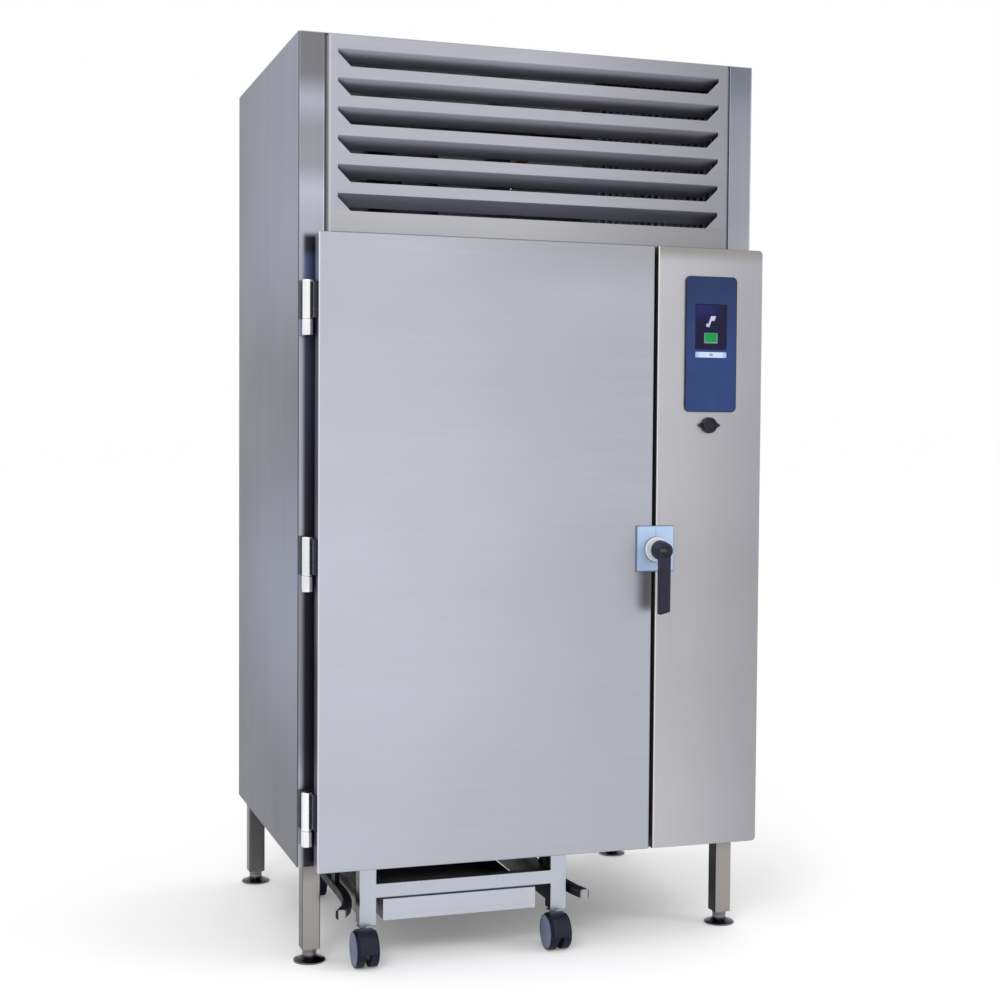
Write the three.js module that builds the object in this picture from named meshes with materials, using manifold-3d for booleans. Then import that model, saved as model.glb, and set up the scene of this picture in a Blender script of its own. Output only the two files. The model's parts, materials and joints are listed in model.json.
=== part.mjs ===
// A roll-in blast chiller: an insulated cabinet on four legs with a left-hinged door, a control column
// beside the door, a refrigerating machine behind the louvres on top, and a pan cart on casters that rolls
// in from the front. Millimetres, +Z up. While it is drawn, X counts to the right from the cabinet's left
// side, Y counts back from the cabinet's front plane and Z counts up from the floor; the last lines move the
// origin to the middle of the model's footprint.
import * as THREE from 'three';
import { mergeVertices } from 'three/addons/utils/BufferGeometryUtils.js';
import Module from 'manifold-3d';

const wasm = await Module();
wasm.setup();

// ---------------------------------------------------------------- driving dimensions
// Clearances
const seat = 0.3; // between pieces that rest against each other
const running = 0.4; // around a turning shaft or a sliding key

// Cabinet
const cabinetWidth = 1324;
const cabinetDepth = 951;
const cabinetHeight = 2500;
const underside = 273; // floor to the cabinet's underside
const sheet = 2; // stainless sheet
const bendRadius = 5;
const wall = 76; // insulated walls, floor and ceiling
const postFace = 71; // width of a front corner post
const foldDepth = 20; // inward folds of the front sheets
const shadowGap = 8; // dark groove beside each corner post
const rearFlange = 40;
const rearSeam = 1;
const machineHeight = 489; // deck of the machine compartment to the roof
const columnWidth = 323; // control column beside the door
const floorSetback = 36; // the floor's front edge stands back to let the cart's posts pass
const grooveDepth = 7; // depth of the groove beside the louvre panel

// Louvres of the machine compartment
const louvreCount = 6;
const louvreDrop = 38; // roof to the top edge of the highest slot
const louvrePitch = 76.4;
const slotHeight = 46.5;
const slotInset = 106; // slot's end to the cabinet's side
const slotShoulder = 11; // upright part of a slot's end
const louvreAngle = 45; // degrees that a blade is bent inwards

// Vents in the back of the machine compartment
const ventRows = 7;
const ventColumns = 3;
const ventLength = 330;
const ventHeight = 14;
const ventPitch = 50;
const ventBlade = 20; // depth of the blade behind each vent

// Legs and levelling feet
const legSize = 50;
const legInsetX = 46; // leg's axis to the cabinet's side
const legInsetY = 55; // leg's axis to the cabinet's front or back
const legPad = 78;
const legPadThickness = 4;
const footHeight = 37;
const footRadius = 44;
const footRim = 6;
const footStemRadius = 20;

// Door
const doorLeft = 38;
const doorBottom = 272.5;
const doorLapTop = 32; // door's top above the cavity's ceiling
const doorLapRight = 86; // door's right edge past the door opening
const doorThickness = 55;
const doorStandoff = 27; // door's back to the cabinet's front plane
const doorEdge = 3; // rounding of the outer edges
const linerLip = 10; // thickness of the inner liner's rim
const gasketWidth = 20;
const gasketInset = 10; // gasket to the door's edge
const sweepThickness = 4; // flat lower seal, in front of the cart's posts

// Hinges
const hingeX = 18;
const hingeY = -41;
const topHingeDrop = 227; // door's top to where the top hinge's barrels meet
const middleHingeRise = 789.5; // door's bottom to the middle hinge
const bottomHingeRise = 108.5; // door's bottom to the bottom hinge
const barrelRadius = 12.5;
const barrelTop = 104; // length of the door's barrel
const barrelLow = 43; // length of the cabinet's barrel
const pinRadius = 6;
const pinLength = 62;
const leafThickness = 5;
const leafWidth = 40;
const armThickness = 14;

// Handle
const handleOut = 8; // handle's axis past the door's edge
const handleRise = 848.5; // handle's axis above the door's bottom
const handleReach = 78; // door's face to the lever's face
const latchReach = 50; // latch plate's left edge to the door's edge
const strikeReach = 64; // strike plate's right edge past the door's edge
const plateBelow = 63; // plates' reach below and above the handle's axis
const plateAbove = 66;
const plateThickness = 4;
const plateSeam = 3;
const latchOverhang = 10.5; // the latch plate reaches this far past the door's edge
const rosetteRadius = 35.5;
const rosetteThickness = 10;
const rosetteBridge = 24; // height of the web between the rosette and the latch plate
const hubRadius = 27.5;
const hubFace = 21; // radius of the hub's front face
const neckRadius = 17; // between the rosette and the hub
const neckLength = 17;
const hubEdge = 4; // bevel of the hub's rear edge
const hubBand = 5; // straight band behind the hub's taper
const leverWidth = 32;
const leverThickness = 24;
const leverDrop = 178; // hub's axis to the lever's low corner
const leverSlant = 8;
const leverEdge = 2; // bevel of the lever's edges

// Control column
const columnGap = 10; // door's edge to the column
const columnCorner = 12; // rounded right corners
const bezelInset = 82; // bezel's right edge to the cabinet's side
const bezelDrop = 79; // door's top to the bezel's top
const bezelWidth = 158;
const bezelHeight = 381;
const bezelThickness = 5;
const bezelCorner = 14;
const screenWidth = 97;
const screenHeight = 127;
const screenDrop = 78; // bezel's top to the screen's top
const screenDepth = 14;
const keyWidth = 96;
const keyHeight = 16;
const keyGap = 7; // screen to the key below it
const keyDepth = 12;
const controlsInset = 78; // middle of the screen and the key to the bezel's left edge
const capInset = 76; // cap's axis to the bezel's left edge
const capDrop = 37.5; // bezel's bottom to the cap's axis
const capRadius = 22.5;
const capEarSpan = 67;
const capEarHeight = 17;
const capThickness = 14;
const boxHeight = 520; // electrical box inside the column
const boxDrop = 47; // door's top to the box
const boxFront = 12; // behind the column's front sheet
const boxSide = 30; // beside the column's side sheets

// Refrigerating machine
const coilInset = 94; // coil's right end to the cabinet's side
const coilWidth = 350;
const coilHeight = 430;
const coilFront = 70;
const coilThickness = 60;
const finCount = 18;
const finThickness = 3;
const finDepth = 24;
const plenumDepth = 70;
const condenserFanRadius = 118;
const tipClearance = 4;
const compressorX = 400;
const compressorY = 430;
const compressorRadius = 105;
const compressorHeight = 290;
const compressorFoot = 18;
const compressorMargin = 20; // base plate past the can
const compressorFootRadius = 15;
const terminalWidth = 80;
const terminalDepth = 30;
const spigotLength = 30; // outlet of the compressor
const spigotRadius = 11;
const pipeRadius = 8;
const pipeBend = 70; // length of the pipe's bends along each straight

// Evaporator, its fans and the slotted panel in front of them
const guardInset = 23; // slotted panel to the door opening
const guardSlots = 9;
const guardSlotLength = 380;
const guardSlotHeight = 14;
const guardSlotPitch = 44;
const lowerFanRise = 411; // cavity's floor to the lower fan's axis
const upperFanDrop = 435; // cavity's ceiling to the upper fan's axis
const evaporatorFanRadius = 200;
const fanGap = 14; // slotted panel to the fan
const bladeCount = 5;
const bladeThickness = 3;
const bladePitch = 24; // degrees
const fanDepth = 34;
const hubSize = 38; // radius of a fan's hub
const motorRadius = 48;
const motorLength = 80;
const shaftRadius = 7;
const railWidth = 70;
const railThickness = 6;
const evaporatorGap = 7; // motors' rail to the evaporator
const evaporatorThickness = 120;
const evaporatorRaise = 60;
const evaporatorFinDepth = 52;

// Guide rails under the cabinet
const guideSize = 26;
const guideOffset = 313; // rail's axis to the cart's centre line
const leftFlare = 52; // how far each front end turns outwards
const rightFlare = 22;
const guideEnd = -78; // front end of a rail
const guideZ = 157;
const guideBack = 800;
const guideBend = 130; // where the flare starts
const guideKnee = -10; // where the flare bends most
const hangerWidth = 40;
const hangerPlaces = [190, 700];

// Cart
const cartCentre = 466;
const cartWidth = 596;
const postSize = 46;
const cartFront = -22;
const postBottom = 104.5;
const rackHeadroom = 85; // rack's top to the cavity's ceiling
const crossbarBottom = 179;
const crossbarHeight = 37.5;
const crossbarDepth = 30;
const beamBottom = 118;
const beamHeight = 70;
const beamWidth = 30;
const frameBar = 30; // depth of the frame's smaller tubes
const rackBase = 362;
const rackBack = 770;
const runnerFirst = 432;
const runnerPitch = 84;
const runnerWidth = 26;
const runnerThickness = 3;
const ladderSheet = 3;
const ladderStrip = 30;
const trayLeft = 233;
const trayRight = 671;
const trayBottom = 116;
const trayFrontTop = 174;
const trayDepth = 540;
const trayWall = 45;
const traySheet = 2;

// Casters
const wheelRadius = 49;
const wheelWidth = 24;
const webThickness = 13;
const axleRadius = 7;
const guardThickness = 3.2;
const guardClearance = 1.2;
const casterTrail = 32; // swivel's axis to the wheels' axis
const swivelInset = 12; // swivel's axis to the post's front face
const swivelOffset = 14; // front swivels' axes to the left of their posts' middles
const rearCasterY = 710;
const stemRadius = 9;

// ---------------------------------------------------------------- places that follow from them
const doorFace = -(doorStandoff + doorThickness);
const cavityTop = cabinetHeight - machineHeight - wall;
const columnLeft = cabinetWidth - columnWidth;
const doorRight = columnLeft - columnGap;
const doorTop = cavityTop + doorLapTop;
const openingRight = doorRight - doorLapRight;
const panelEdge = postFace + shadowGap;
const wallFace = sheet + seat + wall; // inner face of the left wall, from the cabinet's side
const innerLeft = wallFace + seat;
const innerRight = cabinetWidth - wallFace - seat;
const shellBack = cabinetDepth - sheet - seat;
const backFace = shellBack - wall;
const floorTop = underside + wall;
const fanHeights = { lower: floorTop + lowerFanRise, upper: cavityTop - upperFanDrop };
const deck = cavityTop + wall; // floor of the machine compartment
const leverFace = doorFace - handleReach;
const casterHeight = postBottom - seat;

// ---------------------------------------------------------------- finishes
const finishes = {
  steelFront: { color: 0xb2b5bd, roughness: 0.36, metalness: 0.9 },
  steelSide: { color: 0x9ba0ad, roughness: 0.4, metalness: 0.9 },
  steelPlain: { color: 0xa9a9a8, roughness: 0.42, metalness: 0.9 },
  tube: { color: 0x938e86, roughness: 0.38, metalness: 0.9 },
  foam: { color: 0xa7aab0, roughness: 0.6, metalness: 0.2 },
  chrome: { color: 0xdcdfe4, roughness: 0.12, metalness: 1.0 },
  darkMetal: { color: 0x2f3038, roughness: 0.5, metalness: 0.6 },
  blackPlastic: { color: 0x24232d, roughness: 0.45, metalness: 0.0 },
  rubber: { color: 0x1d1d22, roughness: 0.85, metalness: 0.0 },
  bezelBlue: { color: 0x324a7a, roughness: 0.3, metalness: 0.0 },
  screenGlass: { color: 0x1e1b5a, roughness: 0.08, metalness: 0.0 },
  keyWhite: { color: 0xc9d3ea, roughness: 0.35, metalness: 0.0 },
  tyre: { color: 0x2a2a3a, roughness: 0.6, metalness: 0.0 },
  fins: { color: 0xa5a7a8, roughness: 0.5, metalness: 0.8 },
};

function piece(name, geometry, finish) {
  const mesh = new THREE.Mesh(geometry, new THREE.MeshStandardMaterial(finishes[finish]));
  mesh.name = name;
  return mesh;
}

// ---------------------------------------------------------------- solids
function toSolid(geometry) {
  const bare = geometry.clone();
  bare.deleteAttribute('normal');
  bare.deleteAttribute('uv');
  const merged = mergeVertices(bare, 1e-4);
  return new wasm.Manifold(new wasm.Mesh({
    numProp: 3,
    vertProperties: merged.attributes.position.array,
    triVerts: Uint32Array.from(merged.index.array),
  }));
}

function toGeometry(solid) {
  const mesh = solid.getMesh();
  const geometry = new THREE.BufferGeometry();
  geometry.setAttribute('position', new THREE.BufferAttribute(mesh.vertProperties, 3));
  geometry.setIndex(new THREE.BufferAttribute(mesh.triVerts, 1));
  geometry.computeVertexNormals();
  return geometry;
}

function join(...geometries) {
  return toGeometry(geometries.map(toSolid).reduce((whole, part) => whole.add(part)));
}

function cut(geometry, ...tools) {
  return toGeometry(tools.map(toSolid).reduce((whole, tool) => whole.subtract(tool), toSolid(geometry)));
}

function block([x0, x1], [y0, y1], [z0, z1]) {
  const geometry = new THREE.BoxGeometry(x1 - x0, y1 - y0, z1 - z0);
  return geometry.translate((x0 + x1) / 2, (y0 + y1) / 2, (z0 + z1) / 2);
}

// Two places on an axis, moved apart by the same play at both ends.
function grown([from, to], play) {
  return [from - play, to + play];
}

// A cylinder along one axis, between two places on it; across holds the other two coordinates.
function rod(axis, [from, to], radius, across, sides = 24) {
  const geometry = new THREE.CylinderGeometry(radius, radius, to - from, sides);
  const middle = (from + to) / 2;
  if (axis === 'x') return geometry.rotateZ(Math.PI / 2).translate(middle, across[0], across[1]);
  if (axis === 'y') return geometry.translate(across[0], middle, across[1]);
  return geometry.rotateX(Math.PI / 2).translate(across[0], across[1], middle);
}

function outline(points) {
  return new THREE.Shape(points.map(([x, y]) => new THREE.Vector2(x, y)));
}

function roundedRect([x0, x1], [y0, y1], radius) {
  const shape = new THREE.Shape();
  shape.absarc(x1 - radius, y1 - radius, radius, 0, Math.PI / 2);
  shape.absarc(x0 + radius, y1 - radius, radius, Math.PI / 2, Math.PI);
  shape.absarc(x0 + radius, y0 + radius, radius, Math.PI, 1.5 * Math.PI);
  shape.absarc(x1 - radius, y0 + radius, radius, 1.5 * Math.PI, 2 * Math.PI);
  return shape;
}

function rectHole([x0, x1], [y0, y1]) {
  return outline([[x0, y0], [x0, y1], [x1, y1], [x1, y0]]);
}

// A shape drawn in X and Y, standing between two heights.
function standing(shape, [z0, z1], curveSegments = 4) {
  const geometry = new THREE.ExtrudeGeometry(shape, { depth: z1 - z0, bevelEnabled: false, curveSegments });
  return geometry.translate(0, 0, z0);
}

// A shape drawn in X and Z, reaching from one depth to another.
function facing(shape, [y0, y1], curveSegments = 4) {
  const geometry = new THREE.ExtrudeGeometry(shape, { depth: y1 - y0, bevelEnabled: false, curveSegments });
  return geometry.rotateX(Math.PI / 2).translate(0, y1, 0);
}

// A shape drawn in Y and Z, reaching from one X to another.
function sideways(shape, [x0, x1], curveSegments = 8) {
  const geometry = new THREE.ExtrudeGeometry(shape, { depth: x1 - x0, bevelEnabled: false, curveSegments });
  return geometry.rotateX(Math.PI / 2).rotateZ(Math.PI / 2).translate(x0, 0, 0);
}

// Rounds the inner corners of an open run of points with short bends.
function bent(points, radius) {
  const run = [new THREE.Vector2(...points[0])];
  for (let i = 1; i < points.length - 1; i += 1) {
    const corner = new THREE.Vector2(...points[i]);
    const back = new THREE.Vector2(...points[i - 1]).sub(corner).setLength(radius).add(corner);
    const ahead = new THREE.Vector2(...points[i + 1]).sub(corner).setLength(radius).add(corner);
    run.push(...new THREE.QuadraticBezierCurve(back, corner, ahead).getPoints(4));
  }
  run.push(new THREE.Vector2(...points[points.length - 1]));
  return run;
}

// The closed outline of a folded sheet: a bent run of points and the same run set off to its right.
function foldedSheet(points, radius, thickness) {
  const outer = bent(points, radius);
  const inner = outer.map((point, i) => {
    const before = outer[Math.max(i - 1, 0)];
    const after = outer[Math.min(i + 1, outer.length - 1)];
    const along = after.clone().sub(before).normalize();
    return new THREE.Vector2(point.x + along.y * thickness, point.y - along.x * thickness);
  });
  return new THREE.Shape([...outer, ...inner.reverse()]);
}

function mirrorX(points, width) {
  return points.map(([x, y]) => [width - x, y]).reverse();
}

// ---------------------------------------------------------------- cabinet shell
function sidePanel(name, side) {
  const run = [[postFace, foldDepth], [postFace, 0], [0, 0], [0, cabinetDepth], [rearFlange, cabinetDepth]];
  const points = side === 'left' ? run : mirrorX(run, cabinetWidth);
  const shape = foldedSheet(points, bendRadius, sheet);
  return piece(name, standing(shape, [underside, cabinetHeight - sheet - seat]), 'steelSide');
}

function roofPanel() {
  const shape = roundedRect([0, cabinetWidth], [0, cabinetDepth], bendRadius);
  return piece('roof_panel', standing(shape, [cabinetHeight - sheet, cabinetHeight]), 'steelPlain');
}

// A slot right through the cabinet's back sheet.
function slot(x, z) {
  return block(x, [cabinetDepth - 2 * sheet, cabinetDepth + sheet], z);
}

// A blade that leans inwards from a slot's lower edge, so that nobody sees in and no water runs in.
function ventShade([left, right], bottom) {
  const blade = block([left - sheet, right + sheet], [-sheet, 0], [0, ventBlade]);
  blade.rotateX(THREE.MathUtils.degToRad(louvreAngle));
  return blade.translate(0, cabinetDepth - sheet / 2, bottom - sheet);
}

function backPanel() {
  const left = rearFlange + rearSeam;
  const z = [underside, cabinetHeight - sheet - seat];
  const plate = block([left, cabinetWidth - left], [cabinetDepth - sheet, cabinetDepth], z);
  const margin = (cabinetWidth - ventColumns * ventLength) / (ventColumns + 1);
  const firstRow = (deck + cabinetHeight - (ventRows - 1) * ventPitch) / 2;
  const vents = [];
  const blades = [];
  for (let column = 0; column < ventColumns; column += 1) {
    const start = margin + column * (ventLength + margin);
    const x = [start, start + ventLength];
    for (let row = 0; row < ventRows; row += 1) {
      const middle = firstRow + row * ventPitch;
      vents.push(slot(x, [middle - ventHeight / 2, middle + ventHeight / 2]));
      blades.push(ventShade(x, middle - ventHeight / 2));
    }
  }
  return piece('back_panel', join(cut(plate, ...vents), ...blades), 'steelPlain');
}

function slotOutline(top, play) {
  const chamfer = slotHeight - slotShoulder;
  const left = slotInset + play;
  const right = cabinetWidth - slotInset - play;
  const bottom = top - slotHeight + play;
  return [[left, top], [left, top - slotShoulder], [left + chamfer, bottom],
    [right - chamfer, bottom], [right, top - slotShoulder], [right, top]];
}

function louvreBlade(top) {
  const blade = facing(outline(slotOutline(0, seat)), [0, sheet]);
  return blade.rotateX(THREE.MathUtils.degToRad(louvreAngle)).translate(0, 0, top);
}

function louvrePanel() {
  const [left, right] = [panelEdge, cabinetWidth - panelEdge];
  const [bottom, top] = [cavityTop, cabinetHeight - sheet - seat];
  const tops = Array.from({ length: louvreCount }, (_, i) => cabinetHeight - louvreDrop - i * louvrePitch);
  const slots = tops.map((slotTop) => facing(outline(slotOutline(slotTop, 0)), [-sheet, 2 * sheet]));
  const face = cut(block([left, right], [0, sheet], [bottom, top]), ...slots);
  const upright = [deck + seat, top];
  const groove = [grooveDepth, grooveDepth + sheet];
  const besideCeiling = [bottom, deck + seat + sheet];
  const folds = [
    block([left, left + sheet], [0, foldDepth], upright),
    block([right - sheet, right], [0, foldDepth], upright),
    block([left, right], [0, foldDepth], [top - sheet, top]),
    block([postFace + seat, left + sheet], groove, upright),
    block([right - sheet, cabinetWidth - postFace - seat], groove, upright),
    block([postFace + seat, innerLeft - seat], groove, besideCeiling),
    block([innerRight + seat, cabinetWidth - postFace - seat], groove, besideCeiling),
  ];
  return piece('louvre_panel', join(face, ...folds, ...tops.map(louvreBlade)), 'steelFront');
}

// ---------------------------------------------------------------- insulated cavity
function sideWall(name, side) {
  const leftX = [sheet + seat, wallFace];
  const x = side === 'left' ? leftX : [cabinetWidth - leftX[1], cabinetWidth - leftX[0]];
  const shape = roundedRect(x, [foldDepth + seat, shellBack], bendRadius);
  return piece(name, standing(shape, [underside, deck], 2), 'foam');
}

function backWall() {
  return piece('back_wall', block([innerLeft, innerRight], [backFace, shellBack], [underside, deck]), 'foam');
}

function ceilingWall() {
  const y = [sheet + seat, backFace - seat];
  return piece('ceiling_wall', block([innerLeft, innerRight], y, [cavityTop, deck]), 'foam');
}

function insulatedFloor() {
  const back = backFace - seat;
  const shape = outline([[innerLeft, floorSetback], [openingRight, floorSetback], [openingRight, seat],
    [innerRight, seat], [innerRight, back], [innerLeft, back]]);
  return piece('insulated_floor', standing(shape, [underside, floorTop]), 'foam');
}

function frontDivider() {
  const z = [floorTop + seat, cavityTop - seat];
  return piece('front_divider', block([openingRight, innerRight], [seat, seat + wall], z), 'foam');
}

// ---------------------------------------------------------------- evaporator side
const evaporatorY = (2 * seat + wall + backFace - seat) / 2;
const guardLeft = openingRight + guardInset;
const fanFront = guardLeft + sheet + fanGap;
const motorRail = fanFront + fanDepth + fanGap + motorLength;
const evaporatorLeft = motorRail + railThickness + evaporatorGap;

function guardPanel() {
  const [front, back] = [2 * seat + wall, backFace - seat];
  const [bottom, top] = [floorTop + seat, cavityTop - seat];
  const middle = (front + back) / 2;
  const y = [middle - guardSlotLength / 2, middle + guardSlotLength / 2];
  const slots = [];
  Object.values(fanHeights).forEach((height) => {
    for (let row = 0; row < guardSlots; row += 1) {
      const z = height + (row - (guardSlots - 1) / 2) * guardSlotPitch;
      const x = [guardLeft - 1, guardLeft + sheet + 1];
      slots.push(block(x, y, [z - guardSlotHeight / 2, z + guardSlotHeight / 2]));
    }
  });
  const plate = block([guardLeft, guardLeft + sheet], [front, back], [bottom, top]);
  return piece('fan_guard_panel', cut(plate, ...slots), 'steelFront');
}

// A finned coil: a core with upright fins on both faces, seen from above in the coil's own length and depth.
function finnedCore(length, depth, fin) {
  const pitch = (length - finThickness) / (finCount - 1);
  const points = [];
  for (let i = 0; i < finCount; i += 1) {
    const x = i * pitch;
    if (i > 0) points.push([x, fin]);
    points.push([x, 0], [x + finThickness, 0]);
    if (i < finCount - 1) points.push([x + finThickness, fin]);
  }
  const far = points.map(([x, y]) => [x, depth - y]).reverse();
  return outline([...points, ...far]);
}

function evaporatorCoil() {
  const [front, back] = [2 * seat + wall + sheet, backFace - seat - sheet];
  const fins = standing(finnedCore(back - front, evaporatorThickness, evaporatorFinDepth),
    [floorTop + evaporatorRaise, cavityTop - evaporatorRaise]);
  fins.rotateZ(Math.PI / 2).translate(evaporatorLeft + evaporatorThickness, front, 0);
  const z = [floorTop + seat, cavityTop - seat];
  const x = [evaporatorLeft, evaporatorLeft + evaporatorThickness];
  const ends = [block(x, [front - sheet, front + sheet], z), block(x, [back - sheet, back + sheet], z)];
  return piece('evaporator_coil', join(fins, ...ends), 'fins');
}

function evaporatorMotors() {
  const y = [evaporatorY - railWidth / 2, evaporatorY + railWidth / 2];
  const parts = [block([motorRail, motorRail + railThickness], y, [floorTop + seat, cavityTop - seat])];
  Object.values(fanHeights).forEach((z) => {
    parts.push(rod('x', [motorRail - motorLength, motorRail + 1], motorRadius, [evaporatorY, z]));
    parts.push(rod('x', [fanFront + fanDepth / 2, motorRail], shaftRadius, [evaporatorY, z], 16));
  });
  return piece('evaporator_motors', join(...parts), 'darkMetal');
}

// A fan about the X axis, its front at X = 0: a hub with a blind bore for the shaft, and pitched blades.
function fanGeometry(radius) {
  const hub = rod('x', [0, fanDepth], hubSize, [0, 0]);
  const root = hubSize * 0.7;
  const chord = 0.5 * radius;
  const blades = Array.from({ length: bladeCount }, (_, i) => {
    const petal = outline([[-chord / 4, root], [-chord / 2, 0.6 * radius], [-chord / 2.2, 0.92 * radius],
      [0, radius], [chord / 2.2, 0.9 * radius], [chord / 2.6, 0.5 * radius], [chord / 4, root]]);
    const blade = new THREE.ExtrudeGeometry(petal, { depth: bladeThickness, bevelEnabled: false });
    blade.translate(0, 0, -bladeThickness / 2).rotateY(THREE.MathUtils.degToRad(bladePitch));
    blade.rotateY(Math.PI / 2).rotateX(Math.PI / 2 + (i * 2 * Math.PI) / bladeCount);
    return blade.translate(fanDepth / 2, 0, 0);
  });
  const bore = rod('x', [fanDepth / 2 - running, fanDepth + 1], shaftRadius + running, [0, 0], 16);
  return cut(join(hub, ...blades), bore);
}

function evaporatorFan(level) {
  const fan = piece(`evaporator_fan_${level}`, fanGeometry(evaporatorFanRadius), 'blackPlastic');
  fan.position.set(fanFront, evaporatorY, fanHeights[level]);
  return fan;
}

// ---------------------------------------------------------------- machine compartment
const coilLeft = cabinetWidth - coilInset - coilWidth;
const coilX = [coilLeft, coilLeft + coilWidth];
const condenserFanX = coilLeft + coilWidth / 2;
const condenserFanZ = deck + seat + coilHeight / 2;
const plenumBack = coilFront + coilThickness + plenumDepth;

function condenserCoil() {
  const [bottom, top] = [deck + seat, deck + seat + coilHeight];
  const fins = standing(finnedCore(coilWidth, coilThickness, finDepth), [bottom, top]);
  fins.translate(coilLeft, coilFront, 0);
  const y = [coilFront, plenumBack];
  const hole = new THREE.Path();
  hole.absarc(condenserFanX, condenserFanZ, condenserFanRadius + tipClearance, 0, 2 * Math.PI, true);
  const back = outline([[coilX[0], bottom], [coilX[1], bottom], [coilX[1], top], [coilX[0], top]]);
  back.holes.push(hole);
  const cover = [
    block([coilX[0] - sheet, coilX[0] + sheet], y, [bottom, top]),
    block([coilX[1] - sheet, coilX[1] + sheet], y, [bottom, top]),
    block(coilX, y, [top - sheet, top + sheet]),
    block(coilX, y, [bottom, bottom + sheet]),
    facing(back, [plenumBack - sheet, plenumBack], 12),
  ];
  return piece('condenser_coil', join(fins, ...cover), 'fins');
}

function condenserFan() {
  const geometry = fanGeometry(condenserFanRadius).rotateZ(Math.PI / 2);
  const fan = piece('condenser_fan', geometry, 'blackPlastic');
  fan.position.set(condenserFanX, plenumBack - sheet - fanDepth / 2, condenserFanZ);
  return fan;
}

function condenserMotor() {
  const front = plenumBack - sheet + fanDepth / 2 + fanGap;
  const back = front + motorLength;
  const x = [condenserFanX - railWidth / 2, condenserFanX + railWidth / 2];
  const parts = [
    rod('y', [front, back], motorRadius, [condenserFanX, condenserFanZ]),
    rod('y', [plenumBack - sheet, back], shaftRadius, [condenserFanX, condenserFanZ], 16),
    block(x, [back - railThickness, back + railThickness], [deck + seat, condenserFanZ + motorRadius]),
    block(x, [front, back], [deck + seat, deck + seat + railThickness]),
  ];
  return piece('condenser_motor', join(...parts), 'darkMetal');
}

function compressor() {
  const base = deck + seat + compressorFoot;
  const [r, h] = [compressorRadius, compressorHeight];
  const profile = [[0, 0], [0.7 * r, 0], [0.93 * r, 0.06 * h], [r, 0.16 * h], [r, 0.5 * h],
    [1.04 * r, 0.51 * h], [1.04 * r, 0.55 * h], [r, 0.56 * h], [r, 0.8 * h], [0.9 * r, 0.92 * h],
    [0.6 * r, 0.98 * h], [0, h]];
  const can = new THREE.LatheGeometry(profile.map(([x, y]) => new THREE.Vector2(x, y)), 18);
  can.rotateX(Math.PI / 2).translate(compressorX, compressorY, base + railThickness - 1);
  const reach = r + compressorMargin;
  const x = [compressorX - reach, compressorX + reach];
  const y = [compressorY - reach, compressorY + reach];
  const feet = [];
  grown(x, -compressorMargin).forEach((footX) => grown(y, -compressorMargin).forEach((footY) => {
    feet.push(rod('z', [deck + seat, base + 1], compressorFootRadius, [footX, footY], 16));
  }));
  const terminals = block(grown([compressorX, compressorX], terminalWidth / 2),
    [compressorY - r - terminalDepth, compressorY - r / 2], [base + 0.3 * h, base + 0.6 * h]);
  const spigot = [compressorX, compressorX + r + spigotLength];
  const outlet = rod('x', spigot, spigotRadius, [compressorY, base + 0.7 * h], 12);
  const plate = block(x, y, [base, base + railThickness]);
  return piece('compressor', join(can, plate, ...feet, terminals, outlet), 'darkMetal');
}

// The discharge pipe from the compressor to the side of the condenser.
function refrigerantLine() {
  const z = deck + seat + compressorFoot + 0.7 * compressorHeight;
  const spigotEnd = compressorX + compressorRadius + spigotLength;
  const start = new THREE.Vector3(spigotEnd + seat, compressorY, z);
  const end = new THREE.Vector3(coilLeft - sheet - seat, coilFront + coilThickness / 2, z);
  const towards = (from, to) => to.clone().sub(from).setLength(pipeBend).add(from);
  const first = new THREE.Vector3((start.x + end.x) / 2, start.y, z);
  const second = new THREE.Vector3(first.x, end.y, z);
  const path = new THREE.CurvePath();
  path.add(new THREE.LineCurve3(start, towards(first, start)));
  path.add(new THREE.QuadraticBezierCurve3(towards(first, start), first, towards(first, second)));
  path.add(new THREE.LineCurve3(towards(first, second), towards(second, first)));
  path.add(new THREE.QuadraticBezierCurve3(towards(second, first), second, towards(second, end)));
  path.add(new THREE.LineCurve3(towards(second, end), end));
  const ring = outline(Array.from({ length: 10 }, (_, i) => {
    const angle = (i * Math.PI) / 5;
    return [pipeRadius * Math.cos(angle), pipeRadius * Math.sin(angle)];
  }));
  const options = { steps: 22, extrudePath: path, bevelEnabled: false };
  return piece('refrigerant_line', new THREE.ExtrudeGeometry(ring, options), 'fins');
}

// ---------------------------------------------------------------- legs
function leg(name, x, y) {
  const half = legSize / 2;
  const tube = standing(roundedRect([-half, half], [-half, half], 4), [footHeight, underside - seat]);
  const pad = block([-legPad / 2, legPad / 2], [-legPad / 2, legPad / 2],
    [underside - seat - legPadThickness, underside - seat]);
  const mesh = piece(name, join(tube, pad), 'tube');
  mesh.position.set(x, y, 0);
  return mesh;
}

function foot(name, x, y) {
  const profile = [[0, 0], [footRadius, 0], [footRadius, footRim], [footStemRadius + 6, footRim + 5],
    [footStemRadius, footRim + 8], [footStemRadius, footHeight - seat], [0, footHeight - seat]];
  const geometry = new THREE.LatheGeometry(profile.map(([r, z]) => new THREE.Vector2(r, z)), 20);
  const mesh = piece(name, geometry.rotateX(Math.PI / 2), 'tube');
  mesh.position.set(x, y, 0);
  return mesh;
}

function legsAndFeet() {
  const places = {
    front_left: [legInsetX, legInsetY],
    front_right: [cabinetWidth - legInsetX, legInsetY],
    rear_left: [legInsetX, cabinetDepth - legInsetY],
    rear_right: [cabinetWidth - legInsetX, cabinetDepth - legInsetY],
  };
  return Object.entries(places).flatMap(([corner, [x, y]]) => [leg(`leg_${corner}`, x, y),
    foot(`foot_${corner}`, x, y)]);
}

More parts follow.
